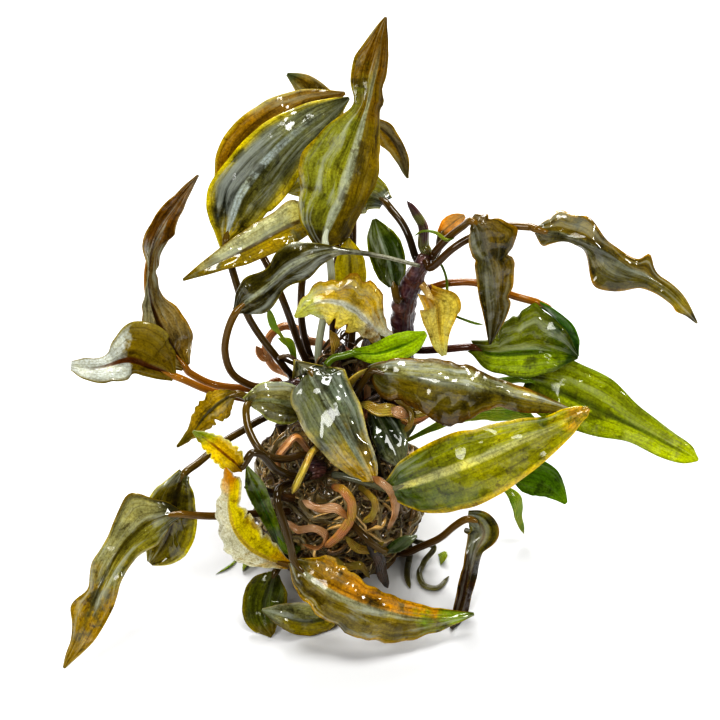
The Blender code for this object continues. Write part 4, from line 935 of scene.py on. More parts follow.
# %% Short words for nodes
class Nodes:
    """A node tree, with short words for the nodes that are needed over and over."""

    def __init__(self, tree):
        self.tree = tree

    def fill(self, socket, source):
        """Join a socket to another one, or give it a value."""
        if isinstance(source, bpy.types.NodeSocket):
            self.tree.links.new(source, socket)
        else:
            socket.default_value = source

    def feed(self, node, sources):
        """Fill a node's inputs by name."""
        for word, source in sources.items():
            self.fill(node.inputs[word], source)
        return node

    def put(self, kind, *sources, **settings):
        """Add a node, set its properties, and fill its inputs in order."""
        node = self.tree.nodes.new(kind)
        for word, value in settings.items():
            setattr(node, word, value)
        enabled = [socket for socket in node.inputs if socket.enabled]
        for socket, source in zip(enabled, sources):
            self.fill(socket, source)
        return node

    def mark(self, word):
        """One of the numbers that the loft stored on every point."""
        return self.put("ShaderNodeAttribute", attribute_name=word).outputs["Fac"]

    def maths(self, operation, *sources):
        return self.put("ShaderNodeMath", *sources, operation=operation).outputs[0]

    def plus(self, first, second):
        return self.maths("ADD", first, second)

    def times(self, first, second):
        return self.maths("MULTIPLY", first, second)

    def times_plus(self, first, second, third):
        return self.maths("MULTIPLY_ADD", first, second, third)

    def ramp(self, value, low, high):
        """A soft step: 0 at low and 1 at high, whichever of the two is the greater."""
        return self.put("ShaderNodeMapRange", value, low, high, 0.0, 1.0,
                        interpolation_type="SMOOTHSTEP").outputs[0]

    def blend(self, factor, first, second, blend_type="MIX"):
        node = self.put("ShaderNodeMix", data_type="RGBA", blend_type=blend_type)
        for word, source in (("Factor_Float", factor), ("A_Color", first), ("B_Color", second)):
            self.fill(next(s for s in node.inputs if s.identifier == word), source)
        return next(s for s in node.outputs if s.identifier == "Result_Color")

    def tinted(self, factor, colour, tint):
        """The colour, multiplied by a tint as far as the factor says."""
        return self.blend(factor, colour, self.blend(1.0, colour, tint, "MULTIPLY"))

    def cloud(self, scale, detail=4.0, roughness=0.55, offset=(0, 0, 0), stretch=(1, 1, 1)):
        """Cloudy noise from 0 to 1, fixed in the object and about 1/scale metres across."""
        place = self.put("ShaderNodeTexCoord").outputs["Object"]
        place = self.put("ShaderNodeMapping", place, offset, (0, 0, 0), stretch).outputs[0]
        node = self.put("ShaderNodeTexNoise", noise_dimensions="3D")
        self.feed(node, {"Vector": place, "Scale": scale, "Detail": detail, "Roughness": roughness})
        return node.outputs["Fac"]

    def bump(self, height, distance, **more):
        node = self.feed(self.put("ShaderNodeBump"), {"Height": height, "Distance": distance, **more})
        return node.outputs[0]

    def group(self, group, **values):
        """Use a node group, and return its outputs."""
        node = self.put("ShaderNodeGroup", node_tree=group.tree)
        return self.feed(node, {word.replace("_", " "): value for word, value in values.items()}).outputs


SOCKETS = {"colour": "NodeSocketColor", "number": "NodeSocketFloat"}


def new_group(name, inputs, outputs):
    """A node group, what it is given and what is wanted of it. Each input has its kind, or the
    number that it holds until a material sets it."""
    tree = bpy.data.node_groups.new(name, "ShaderNodeTree")
    for word, kind in inputs.items():
        if kind in SOCKETS:
            tree.interface.new_socket(word, in_out="INPUT", socket_type=SOCKETS[kind])
        else:
            socket = tree.interface.new_socket(word, in_out="INPUT", socket_type=SOCKETS["number"])
            socket.default_value = kind
    for word, kind in outputs.items():
        tree.interface.new_socket(word, in_out="OUTPUT", socket_type=SOCKETS[kind])
    print(name, "takes", ", ".join(inputs), "and gives", ", ".join(outputs))
    return Nodes(tree), tree.nodes.new("NodeGroupInput").outputs, tree.nodes.new("NodeGroupOutput")


# %% [markdown]
# ### Zones of colour
# The two halves of a leaf often differ in colour, partly because one has aged and partly as
# painted light: the half that faces the light is painted with a paler, silvery sheen. The base,
# the tip and the margin fade in over their own stretch, and the midrib is a line that narrows
# with the leaf. A bright yellow margin is partly the leaf's own colour and partly a painted glow
# of light through the thin edge, and a silvery midrib is a painted highlight. The borders are
# pushed about by noise, so none looks ruled.

# %% Group: leaf zones
BORDER_SCALE = 160.0
BORDER_DRIFT = 0.5
HALVES_MEET = (-0.12, 0.16)
MARGIN_DRIFT = 0.35
MARGIN_FULL = 1.02
RIB_FADE = 2.2
RIB_STRETCH = (0.95, 0.55)

zones, given, wanted = new_group(
    "leaf zones",
    {"Base": "colour", "Left": "colour", "Right": "colour", "Tip": "colour", "Margin": "colour",
     "Rib": "colour", "Base End": 0.2, "Tip Start": 0.72, "Tip Fade": 0.25, "Margin Width": 0.16,
     "Rib Width": 0.07},
    {"Colour": "colour"})
drift = zones.times_plus(zones.cloud(BORDER_SCALE), BORDER_DRIFT, -BORDER_DRIFT / 2)
across = zones.plus(zones.mark("across"), zones.times(drift, 0.5))
along = zones.plus(zones.mark("along"), drift)
share = zones.maths("ABSOLUTE", zones.mark("across"))
# The colours of the halves, tip, margin and midrib can hold painted sheen, painted glow and painted shadow,
# as the looks table gives them.
skin = zones.blend(zones.ramp(across, *HALVES_MEET), given["Right"], given["Left"])
skin = zones.blend(zones.ramp(along, given["Base End"], 0.0), skin, given["Base"])
tip_end = zones.plus(given["Tip Start"], given["Tip Fade"])
skin = zones.blend(zones.ramp(along, given["Tip Start"], tip_end), skin, given["Tip"])
edge_from = zones.maths("SUBTRACT", 1.0, given["Margin Width"])
edge_reach = zones.times_plus(drift, MARGIN_DRIFT, share)
skin = zones.blend(zones.ramp(edge_reach, edge_from, MARGIN_FULL), skin, given["Margin"])
rib_step = zones.ramp(share, zones.times(given["Rib Width"], RIB_FADE), given["Rib Width"])
rib_step = zones.times(rib_step, zones.ramp(zones.mark("along"), *RIB_STRETCH))
zones.feed(wanted, {"Colour": zones.blend(rib_step, skin, given["Rib"])})

# %% [markdown]
# ### Veins
# A few main veins run beside the midrib from base to tip, and a fine net of small veins fills
# the space between them. The main veins are ridges at fixed places across the leaf. The net
# is the border lines of a Voronoi pattern, drawn in the leaf's own width and length so that
# its cells stay about 1.5 mm wide on every leaf.

# %% Group: leaf veins
WOBBLE_SCALE = 220.0
WOBBLE = 0.16
VEIN_LANES = 3.6
VEIN_SHARP = (0.88, 1.0)
NET_LEAN = 1.6
NET_SQUASH = 0.62
NET_SHARP = (0.11, 0.0)
NET_DEPTH = -0.35
MAIN_DEPTH = -0.8

veins, given, wanted = new_group(
    "leaf veins", {"Width": 10.0, "Length": 60.0, "Cell": 1.5},
    {"Height": "number", "Net": "number", "Main": "number"})
share = veins.maths("ABSOLUTE", veins.mark("across"))
wobble = veins.times_plus(veins.cloud(WOBBLE_SCALE), WOBBLE, -WOBBLE / 2)
lanes = veins.times(veins.plus(share, wobble), VEIN_LANES * 2 * math.pi)
main = veins.ramp(veins.maths("COSINE", lanes), *VEIN_SHARP)
columns = veins.maths("DIVIDE", veins.times(veins.mark("across"), given["Width"]), given["Cell"])
reaches = veins.maths("DIVIDE", veins.times(veins.mark("along"), given["Length"]), given["Cell"])
slant = veins.times_plus(share, NET_LEAN, veins.times(reaches, NET_SQUASH))
spot = veins.put("ShaderNodeCombineXYZ", columns, slant, 0.0).outputs[0]
cells = veins.put("ShaderNodeTexVoronoi", spot, 1.0, voronoi_dimensions="2D", feature="DISTANCE_TO_EDGE")
net = veins.ramp(cells.outputs["Distance"], *NET_SHARP)
height = veins.times_plus(net, NET_DEPTH, veins.times(main, MAIN_DEPTH))
veins.feed(wanted, {"Height": height, "Net": net, "Main": main})

# %% [markdown]
# ### Blotches, painted light and painted shade
# Old leaves are mottled: cloudy patches of another colour and small dark pits where the tissue
# has begun to break down. Over them lie clouds of painted light and painted shade, lighter and
# darker copies of the leaf's colour. The borders of the patches are ragged, which takes many
# octaves of noise with a sharp step through the middle.

# %% Group: blotches, painted light and painted shade
PATCH_CLOUD = dict(scale=95.0, detail=9.0, roughness=0.66, offset=(0.3, 0.1, 0))
PATCH_FROM = 0.64
PATCH_GAIN = 0.22
PATCH_SHARP = 0.1
PATCH_STRENGTH = 0.85
SHADE_CLOUD = dict(scale=130.0, detail=7.0, roughness=0.62, offset=(0.0, 0.4, 0.9))
SHADED, SHADED_TINT = (0.5, 0.3), (0.34, 0.36, 0.3, 1)
LIT, LIT_TINT = (0.5, 0.7), (1.7, 1.6, 1.1, 1)
GRAIN_CLOUD = dict(scale=1400.0, detail=2.0)
GRAIN, GRAIN_TINT = (0.62, 0.36), (0.74, 0.72, 0.66, 1)
PIT_CLOUD = dict(scale=420.0, detail=2.0, offset=(0, 0.7, 0.2))
PITTED, PIT_TINT = (0.64, 0.7), (0.22, 0.14, 0.08, 1)

blotches_and_painted_light, given, wanted = new_group(
    "blotches_and_painted_light",
    {"Colour": "colour", "Patch Colour": "colour", "Patches": 0.4, "Contrast": 0.6, "Pits": 0.3},
    {"Colour": "colour"})
low = blotches_and_painted_light.maths("SUBTRACT", PATCH_FROM, blotches_and_painted_light.times(given["Patches"], PATCH_GAIN))
patches = blotches_and_painted_light.ramp(blotches_and_painted_light.cloud(**PATCH_CLOUD), low, blotches_and_painted_light.plus(low, PATCH_SHARP))
patches = blotches_and_painted_light.times(patches, PATCH_STRENGTH)
mottle_and_painted_light = blotches_and_painted_light.blend(patches, given["Colour"], given["Patch Colour"])
# Clouds of painted shade and painted light: darker and lighter copies of the colour, as strong as the
# Contrast input says.
shades = blotches_and_painted_light.cloud(**SHADE_CLOUD)
for stretch, tint in ((SHADED, SHADED_TINT), (LIT, LIT_TINT)):
    mask = blotches_and_painted_light.times(blotches_and_painted_light.ramp(shades, *stretch), given["Contrast"])
    mottle_and_painted_light = blotches_and_painted_light.tinted(mask, mottle_and_painted_light, tint)
grain = blotches_and_painted_light.ramp(blotches_and_painted_light.cloud(**GRAIN_CLOUD), *GRAIN)
mottle_and_painted_light = blotches_and_painted_light.tinted(grain, mottle_and_painted_light, GRAIN_TINT)
pits = blotches_and_painted_light.times(blotches_and_painted_light.ramp(blotches_and_painted_light.cloud(**PIT_CLOUD), *PITTED), given["Pits"])
blotches_and_painted_light.feed(wanted, {"Colour": blotches_and_painted_light.tinted(pits, mottle_and_painted_light, PIT_TINT)})

# %% [markdown]
# ### Painted streaks of sheen and shade
# A leaf that is wet and a little folded shows long silvery streaks between its main veins, where
# it mirrors the light, and darker ones beside them. Here both are painted into the colour, as a
# painted sheen and a painted shade. They run lengthwise, so the noise is read in the leaf's own
# millimetres and stretched along it. The sheen mask is soft, and the leaf's material turns it
# into a paler, greyer skin, and the shade mask into a darker one.

# %% Group: leaf streaks, painted sheen and painted shade
STREAKS_ACROSS = 0.3
STREAKS_ALONG = 0.045
STREAK_NOISE = {"Scale": 1.0, "Detail": 5.0, "Roughness": 0.6, "Distortion": 0.6}
STREAK_HALVES = (-0.1, 0.1)
SILVERED = (0.46, 0.68)
DARKENED = (0.48, 0.34)

painted_light_streaks, given, wanted = new_group(
    "leaf streaks", {"Width": 10.0, "Length": 60.0, "Seed": 0.0, "Left": 0.4, "Right": 0.4},
    {"Mask": "number", "Shade": "number"})
half = painted_light_streaks.ramp(painted_light_streaks.mark("across"), *STREAK_HALVES)
strength = painted_light_streaks.put("ShaderNodeMapRange", half, 0.0, 1.0, given["Right"], given["Left"]).outputs[0]
columns = painted_light_streaks.times(painted_light_streaks.mark("across"), painted_light_streaks.times(given["Width"], STREAKS_ACROSS))
reaches = painted_light_streaks.times(painted_light_streaks.mark("along"), painted_light_streaks.times(given["Length"], STREAKS_ALONG))
spot = painted_light_streaks.put("ShaderNodeCombineXYZ", columns, reaches, given["Seed"]).outputs[0]
strands = painted_light_streaks.put("ShaderNodeTexNoise", noise_dimensions="3D")
strands = painted_light_streaks.feed(strands, {"Vector": spot, **STREAK_NOISE}).outputs["Fac"]
# Mask is the painted sheen and Shade the painted shade.
painted_light_streaks.feed(wanted, {"Mask": painted_light_streaks.times(painted_light_streaks.ramp(strands, *SILVERED), strength),
                      "Shade": painted_light_streaks.ramp(strands, *DARKENED)})

# %% [markdown]
# ### Wet film
# The plant has just come out of the water. Where the film of water lies it is smooth and
# mirrors the lamp, and between the films the skin is duller. The film has ragged borders,
# which break each highlight into the torn white patches that a wet leaf shows.

# %% Group: wet film
FILM_FROM = 0.68
FILM_GAIN = 0.32
FILM_SHARP = 0.09
DRY_ROUGHNESS = 0.42
WET_ROUGHNESS = 0.18
RIPPLE_SCALE = 300.0
FILM_HEIGHT = 0.4
RIPPLE_HEIGHT = 0.6

film, given, wanted = new_group("wet film", {"Coverage": 0.5, "Scale": 65.0},
                                {"Film": "number", "Roughness": "number", "Height": "number"})
low = film.maths("SUBTRACT", FILM_FROM, film.times(given["Coverage"], FILM_GAIN))
clouds = film.cloud(given["Scale"], detail=7.0, roughness=0.66)
wet = film.ramp(clouds, low, film.plus(low, FILM_SHARP))
ripple = film.cloud(RIPPLE_SCALE, detail=2.0)
film.feed(wanted, {
    "Film": wet, "Roughness": film.times_plus(wet, WET_ROUGHNESS - DRY_ROUGHNESS, DRY_ROUGHNESS),
    "Height": film.plus(film.times(wet, FILM_HEIGHT), film.times(ripple, RIPPLE_HEIGHT))})

# %% [markdown]
# ## The leaf material
# A leaf is a skin that gives back light and also lets it through. The Principled shader makes
# the skin with its wet coat, and a Translucent shader mixed into it carries the light that
# comes from behind. Both take their colour from the same zones, but the light that has passed
# through is richer and more yellow, so that colour is brightened on its way.

# %% Leaf material
VEIN_BUMP = 0.00012
FILM_BUMP = 0.0001
FILM_BUMP_STRENGTH = 0.6
NET_SHADE = 0.35
MAIN_SHADE = 0.5
VEIN_TINT = (0.55, 0.5, 0.4, 1)
UNDERSIDE = (150, 140, 100)
UNDERSIDE_SHARE = 0.45
# The colour of the painted sheen.
SHEEN = (198, 204, 194)
SHADE_TINT = (0.36, 0.34, 0.3, 1)
THROUGH_TINT = (1.0, 0.95, 0.45, 1)
THROUGH_SHARE = 0.75
LEAF_COAT = {"Coat Roughness": 0.06, "Coat IOR": 1.8, "Specular IOR Level": 0.05}


def let_through(nodes, shader, colour, share):
    """Mix a share of light that has passed through into what the shader gives back."""
    through = nodes.put("ShaderNodeBsdfTranslucent", colour)
    mixed = nodes.put("ShaderNodeMixShader", share, shader.outputs[0], through.outputs[0])
    nodes.feed(nodes.tree.nodes["Material Output"], {"Surface": mixed.outputs[0]})


def leaf_material(name, look, width, length):
    material, shader = new_material(name + "_skin")
    nodes = Nodes(material.node_tree)
    colours = {word: leaf_paint(*colour) for word, colour in look["colours"].items()}
    zone = nodes.group(zones, Base_End=look["base_end"], Tip_Start=look["tip_start"],
                       Tip_Fade=look["tip_fade"], Margin_Width=look["margin_width"], **colours)
    # Blotches and pits, with clouds of painted light and painted shade over them.
    skin = nodes.group(blotches_and_painted_light, Colour=zone["Colour"], Patch_Colour=leaf_paint(*look["patch"]),
                       Patches=look["mottle"], Contrast=look["contrast"], Pits=look["pits"])["Colour"]
    vein = nodes.group(veins, Width=width / MM, Length=length / MM)
    lines = nodes.maths("MAXIMUM", nodes.times(vein["Net"], NET_SHADE), nodes.times(vein["Main"], MAIN_SHADE))
    skin = nodes.tinted(lines, skin, VEIN_TINT)
    skin = nodes.blend(nodes.times(nodes.mark("underside"), UNDERSIDE_SHARE), skin, paint(*UNDERSIDE))
    wet = nodes.group(film, Coverage=look["wet"])
    left_sheen, right_sheen = look["sheen"]
    silver = nodes.group(painted_light_streaks, Width=width / MM, Length=length / MM, Seed=seed_of(name) / 10,
                         Left=left_sheen, Right=right_sheen)
    # Painted shade in dark streaks, then a painted sheen in pale silvery streaks.
    skin = nodes.tinted(nodes.times(silver["Shade"], look["shade"]), skin, SHADE_TINT)
    skin = nodes.blend(silver["Mask"], skin, paint(*SHEEN))
    ridged = nodes.bump(vein["Height"], VEIN_BUMP)
    rippled = nodes.bump(wet["Height"], FILM_BUMP, Strength=FILM_BUMP_STRENGTH, Normal=ridged)
    nodes.feed(shader, {"Base Color": skin, "Roughness": wet["Roughness"], "Coat Weight": wet["Film"],
                        "Normal": rippled, **LEAF_COAT})
    let_through(nodes, shader, nodes.blend(THROUGH_SHARE, skin, THROUGH_TINT, "SOFT_LIGHT"), look["glow"])
    return material


# %% [markdown]
# ## The petiole material
# The stalks are dark and glossy, brown to plum, with a painted highlight: lighter stripes that
# stand for the light catching the ridges. They change colour towards the blade. Nine finishes
# cover all the leaves.

# %% Petiole finishes
PETIOLE_COLOURS = {
    "brown": ((64, 42, 8), (112, 84, 16)), "olive": ((60, 42, 6), (98, 78, 12)),
    "orange": ((110, 64, 8), (158, 110, 20)), "dark": ((42, 30, 8), (80, 62, 16)),
    "slate": ((84, 86, 72), (116, 114, 84)), "green": ((84, 100, 8), (96, 120, 6)),
    "plum": ((64, 26, 24), (84, 52, 22)), "pale": ((180, 146, 84), (206, 180, 110)),
    "silver": ((150, 154, 130), (186, 190, 168))}
STALK_CLOUD = dict(scale=260.0, detail=3.0, stretch=(1, 1, 0.25))
STALK_DRIFT = 0.5
STALK_CHANGE = (-0.7, 0.6)
STRIPE_LANES = 14.0
STRIPE_SHARP = (0.2, 1.0)
STRIPE_SHARE = 0.3
PAINTED_STRIPE_HIGHLIGHT = (1.6, 1.5, 1.2, 1)
STRIPE_BUMP = 0.00015
STALK_COAT = {"Roughness": 0.28, "Specular IOR Level": 0.1, "Coat Weight": 0.7, "Coat Roughness": 0.07}


def petiole_material(word):
    low, high = PETIOLE_COLOURS[word]
    material, shader = new_material("petiole_" + word)
    nodes = Nodes(material.node_tree)
    climb = nodes.plus(nodes.mark("along"), nodes.times(nodes.cloud(**STALK_CLOUD), STALK_DRIFT))
    colour = nodes.blend(nodes.ramp(climb, *STALK_CHANGE), paint(*low), paint(*high))
    lanes = nodes.maths("COSINE", nodes.times(nodes.mark("across"), STRIPE_LANES))
    stripes = nodes.ramp(lanes, *STRIPE_SHARP)
    # The painted highlight: lighter stripes along the stalk, which the bump below also raises.
    colour = nodes.tinted(nodes.times(stripes, STRIPE_SHARE), colour, PAINTED_STRIPE_HIGHLIGHT)
    nodes.feed(shader, {"Base Color": colour, "Normal": nodes.bump(stripes, STRIPE_BUMP), **STALK_COAT})
    return material


petiole_materials = {word: petiole_material(word) for word in PETIOLE_COLOURS}
for name, obj in leaf_objects.items():
    blade = LEAVES[name]["blade"]
    length = run_length([sighted(*row[:3]) for row in blade])
    width = max(row[3] for row in blade) * MM
    obj.data.materials.append(leaf_material(name, LOOKS[name], width, length))
    obj.data.materials.append(petiole_materials[LOOKS[name]["petiole"]])
print(len(bpy.data.materials), "materials so far")

# %% [markdown]
# ## Rhizomes, shoots and cut stalks
# A rhizome is a thick creeping stem, plum-coloured, ringed by the scars of old leaves. The
# same tube as before could serve, but the rings want more sides and a radius that swells
# and shrinks along the way. So one function makes round, lumpy rods from a route of sightings
# and a list of radii in mm, and rounds both of their ends.

# %% Rod table
def rod(route, radii, finish, anchor=None, rings=0.0, lumps=0.12):
    """A rod's route, sizes and finish, what it grows from, and how ringed and lumpy it is."""
    return dict(route=route, radii=radii, finish=finish, anchor=anchor, rings=rings, lumps=lumps)


RODS = {
    "rhizome_left": rod(
        route=[(270, 396, 5), (290, 391, 6), (312, 391, 9), (334, 390, 14), (352, 392, 17)],
        radii=(2.6, 4.2, 4.8, 4.4, 2.8), finish="plum", rings=0.3, lumps=0.5),
    "rhizome_right": rod(
        route=[(402, 408, 13), (399, 370, 15), (402, 330, 16), (407, 296, 16), (417, 274, 14),
               (427, 256, 12.5)],
        radii=(4.4, 4.2, 3.8, 3.6, 3.2, 2.4), finish="plum", rings=0.3, lumps=0.4),
    "crown_front": rod(
        route=[(326, 470, -15), (312, 468, -18), (303, 472, -21)], radii=(2.4, 3.2, 2.4),
        finish="plum", rings=0.2, lumps=0.4),
    "shoot_spear": rod(
        anchor="rhizome_right",
        route=[(427, 246, 17), (427, 238, 17), (423, 226, 16.5), (415, 212, 16), (407, 201, 15.5)],
        radii=(1.7, 1.6, 1.5, 1.25, 0.5), finish="spear", lumps=0.1),
    "stalk_cut_front": rod(
        anchor="root_ball",
        route=[(321, 440, -14), (313, 451, -19), (303, 471, -27), (292, 494, -31)],
        radii=(1.1, 1.1, 1.15, 1.2), finish="straw", lumps=0.05),
    "stalk_cut_left": rod(
        anchor="root_ball",
        route=[(284, 497, -23), (264, 491, -24.5), (244, 487, -25)],
        radii=(1.3, 1.2, 1.1), finish="bark", rings=0.05, lumps=0.1),
    "root_pink_loop": rod(
        anchor="rhizome_left",
        route=[(298, 377, 18), (286, 373, 21), (273, 366, 23), (266, 351, 25), (271, 335, 26),
               (286, 326, 26.5), (302, 333, 26), (311, 347, 25.5)],
        radii=(1.0, 1.2, 1.3, 1.35, 1.35, 1.3, 1.2, 0.8), finish="pink"),
    "root_pink_strap": rod(
        anchor="root_ball",
        route=[(368, 404, 4), (367, 386, 7), (360, 367, 11), (346, 351, 14), (327, 341, 15.5)],
        radii=(1.0, 1.2, 1.3, 1.2, 0.9), finish="salmon"),
    "root_orange_strap": rod(
        anchor="root_ball",
        route=[(364, 409, -1), (380, 410, 0), (395, 416, 0), (411, 422, -1), (432, 415, -2)],
        radii=(0.9, 1.1, 1.2, 1.2, 0.5), finish="orange"),
    "root_orange_front": rod(
        anchor="root_ball",
        route=[(331, 489, -26), (343, 490, -28.5), (351, 502, -30), (351, 516, -30.5), (344, 530, -30.5),
               (334, 540, -30), (325, 547, -29)],
        radii=(1.0, 1.4, 1.5, 1.5, 1.5, 1.4, 1.1), finish="orange"),
    "root_yellow_front": rod(
        anchor="root_ball",
        route=[(369, 492, -27), (374, 500, -29), (375, 508, -29.5), (371, 517, -29.5), (362, 522, -29)],
        radii=(0.9, 1.1, 1.1, 1.1, 0.9), finish="straw", lumps=0.1),
    "root_peach_left": rod(
        anchor="crown_front",
        route=[(306, 430, -12), (296, 437, -15), (285, 447, -18), (277, 459, -20), (280, 470, -19)],
        radii=(0.9, 1.1, 1.2, 1.1, 0.9), finish="pink"),
    "root_floor_inner": rod(
        anchor="root_ball",
        route=[(414, 550, -8), (408, 566, -11), (407, 584, -17), (410, 597, -22)],
        radii=(0.9, 1.0, 0.9, 0.5), finish="moss", lumps=0.1),
    "root_floor_outer": rod(
        anchor="root_ball",
        route=[(420, 545, -6), (434, 547, -8), (424, 562, -11), (419, 580, -15.5), (424, 595, -21),
               (437, 598, -22), (449, 583, -16)],
        radii=(0.8, 0.9, 0.9, 0.9, 0.9, 0.8, 0.5), finish="moss", lumps=0.1),
}
print(len(RODS), "rhizomes, stalks and strap roots")

# %% Rods
ROD_SIDES = 18
ROD_STEP = 0.7 * MM
FEWEST_STEPS = 8
RING_SPACING = 2.2 * MM
RING_DEPTH = 0.35
RING_FLOOR = 0.4
CAP_STEPS = 4
CAP_START = 0.35
LUMP_FINENESS = 260
LUMP_TURN = 0.9
ROD_CLEARANCE = 0.2 * MM


def rod_rings(points, radii, lumps, rings, seed, flat=1.0):
    """Rings of points round a route, lumpy, ringed by scars and rounded at both ends."""
    ways = tangents(points)
    last = len(points) - 1
    run = 0.0
    result = []
    for i, side in enumerate(carried_sides(ways, ways[0].orthogonal().normalized())):
        run += (points[i] - points[i - 1]).length if i else 0.0
        scar = 1 - rings * RING_DEPTH * max(math.cos(2 * math.pi * run / RING_SPACING), RING_FLOOR)
        cap = math.sin(math.pi / 2 * min((min(i, last - i) + CAP_START) / CAP_STEPS, 1))
        ring = []
        for way, turn in ring_ways(side, ways[i].cross(side), ROD_SIDES, flat):
            lump = 1 + lumps * noise.noise(points[i] * LUMP_FINENESS + way * LUMP_TURN + Vector((seed, 0, 0)))
            spot = above_floor(points[i] + way * radii[i] * scar * cap * lump, ROD_CLEARANCE)
            ring.append((spot, math.cos(turn), i / last, 0.0))
        result.append(ring)
    return result


def rod_points(entry):
    """A smooth route with its radius at every step, from the rod's sightings."""
    rows = [[*sighted(*spot), radius * MM] for spot, radius in zip(entry["route"], entry["radii"])]
    if entry["anchor"]:
        rows = planted(rows, carriers[entry["anchor"]], rows[0][3])
    length = run_length([Vector(row[:3]) for row in rows])
    steps = max(round(length / ROD_STEP), FEWEST_STEPS)
    samples = smooth_rows(rows, even_spots(steps, 0, len(rows) - 1))
    points = [above_floor(Vector(sample[:3]), sample[3]) for sample in samples]
    return points, [sample[3] for sample in samples]


rod_objects = {}
for name, entry in RODS.items():
    points, radii = rod_points(entry)
    rings = rod_rings(points, radii, entry["lumps"], entry["rings"], seed_of(name))
    rod_objects[name] = lofted(name + "_rod", [(rings, 0)])
    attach(rod_objects[name], "root")
    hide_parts(name)
print(len(rod_objects), "rods")

# %% [markdown]
# ## Scraps between the stalks
# Among the stalks and roots sit pieces too small for the solids: shed bits of leaf, torn
# straps of old sheath, green sprigs and thin tendrils. Each is a flattened rod, so it takes
# the same rings, with a finish, a flatness and a list of routes for each kind.

# %% Scraps
SCRAP_LUMPS = 0.25
SCRAPS = {
    "scrap_tendrils": ("sprig", 0.8, [
        ([(436, 258, 14), (443, 268, 12), (447, 284, 11), (445, 300, 10), (437, 310, 10)],
         (0.4, 0.4, 0.4, 0.4, 0.2)),
        ([(437, 310, 10), (447, 312, 11), (460, 318, 11), (474, 323, 11), (484, 325, 11)],
         (0.3, 0.35, 0.4, 0.4, 0.2)),
        ([(414, 236, 14), (424, 231, 13), (436, 233, 12), (446, 240, 11), (455, 238, 11)],
         (0.3, 0.4, 0.5, 0.5, 0.3)),
        ([(239, 564, -7), (231, 574, -11), (216, 583, -15)], (0.3, 0.5, 0.2))]),
    "scrap_sprigs": ("sprig", 0.22, [
        ([(302, 384, 8), (290, 350, 9), (280, 334, 9), (272, 322, 9), (268, 308, 9)],
         (0.4, 0.5, 0.6, 1.4, 0.5)),
        ([(304, 384, 9), (296, 360, 10), (290, 344, 11), (278, 338, 11)], (0.4, 0.5, 1.5, 0.5)),
        ([(438, 556, -6), (443, 566, -8), (440, 580, -11)], (0.8, 1.7, 0.5)),
        ([(412, 474, 6), (436, 472, 8), (470, 478, 8), (500, 486, 6), (516, 500, 4), (519, 518, 3),
          (524, 534, 2)], (0.5, 0.5, 0.5, 0.6, 2.2, 1.4, 0.4)),
        ([(410, 486, -8), (420, 480, -13), (428, 470, -14), (436, 474, -14)], (0.6, 0.7, 1.6, 0.5)),
        ([(262, 556, -5), (250, 566, -9), (243, 578, -14)], (1.0, 2.0, 0.8)),
        ([(404, 442, 5), (424, 432, 6), (450, 420, 6), (480, 412, 5), (508, 412, 4), (535, 418, 3)],
         (0.6, 0.8, 1.6, 2.6, 2.6, 1.0))]),
    "scrap_sheaths": ("straw", 0.3, [
        ([(345, 390, -4), (354, 378, -4), (368, 368, -4)], (1.6, 2.2, 1.2)),
        ([(356, 404, -3), (366, 405, -8), (378, 410, -10), (392, 410, -10), (410, 418, -9)],
         (0.8, 1.4, 1.8, 2.2, 1.0)),
        ([(394, 400, -5), (408, 408, -9), (411, 422, -12), (402, 434, -12)], (0.8, 0.9, 0.9, 0.8)),
        ([(404, 412, -9), (413, 413, -9), (423, 410, -9), (434, 408, -10)], (1.0, 1.4, 1.9, 0.9)),
        ([(344, 536, -28), (358, 548, -28), (372, 550, -27), (384, 542, -27)], (1.0, 1.4, 1.3, 0.7)),
        ([(330, 556, -27), (344, 566, -27), (360, 566, -27), (370, 578, -26)], (0.9, 1.3, 1.3, 0.7)),
        ([(330, 330, 12), (336, 345, 10), (334, 362, 8)], (1.0, 1.8, 1.0))]),
    "scrap_straps": ("pink", 0.55, [
        ([(256, 346, 24), (262, 355, 24), (272, 360, 23.5)], (1.0, 1.8, 1.0)),
        ([(300, 340, 20), (322, 344, 21), (334, 358, 20), (330, 376, 18)], (1.2, 1.4, 1.4, 1.0)),
        ([(390, 408, -10), (400, 413, -11), (410, 417, -11)], (1.2, 1.8, 0.8)),
        ([(302, 500, -29), (318, 508, -31), (336, 508, -31), (350, 520, -31)], (1.0, 1.4, 1.4, 0.8)),
        ([(372, 476, -25), (390, 490, -26), (396, 510, -26), (388, 530, -26)], (1.0, 1.4, 1.4, 0.8)),
        ([(286, 520, -26), (298, 530, -28), (314, 528, -29), (326, 536, -29), (318, 548, -28),
          (302, 544, -28)], (0.8, 1.2, 1.3, 1.3, 1.1, 0.7)),
        ([(300, 560, -26), (316, 570, -26), (336, 576, -25)], (0.9, 1.3, 0.8))]),
    "scrap_dark_strips": ("bark", 0.25, [
        ([(366, 538, -27), (379, 560, -27), (383, 574, -26), (388, 588, -26)], (1.0, 1.9, 2.0, 1.0)),
        ([(343, 344, 9), (338, 364, 7), (346, 384, 3)], (2.2, 3.2, 2.2)),
        ([(372, 330, 12), (366, 352, 9), (372, 372, 5)], (2.0, 3.0, 2.0)),
        ([(384, 388, 4), (376, 396, -1), (362, 402, -4)], (1.6, 2.6, 1.6))]),
}
for name, (finish, flat, pieces) in SCRAPS.items():
    strands = []
    for number, (route, radii) in enumerate(pieces):
        points, sizes = rod_points(rod(route, radii, finish))
        strands.append((rod_rings(points, sizes, SCRAP_LUMPS, 0.0, seed_of(name) + number, flat), 0))
    rod_objects[name] = lofted(name, strands)
    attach(rod_objects[name], "root")
    print(name, len(strands), "pieces")

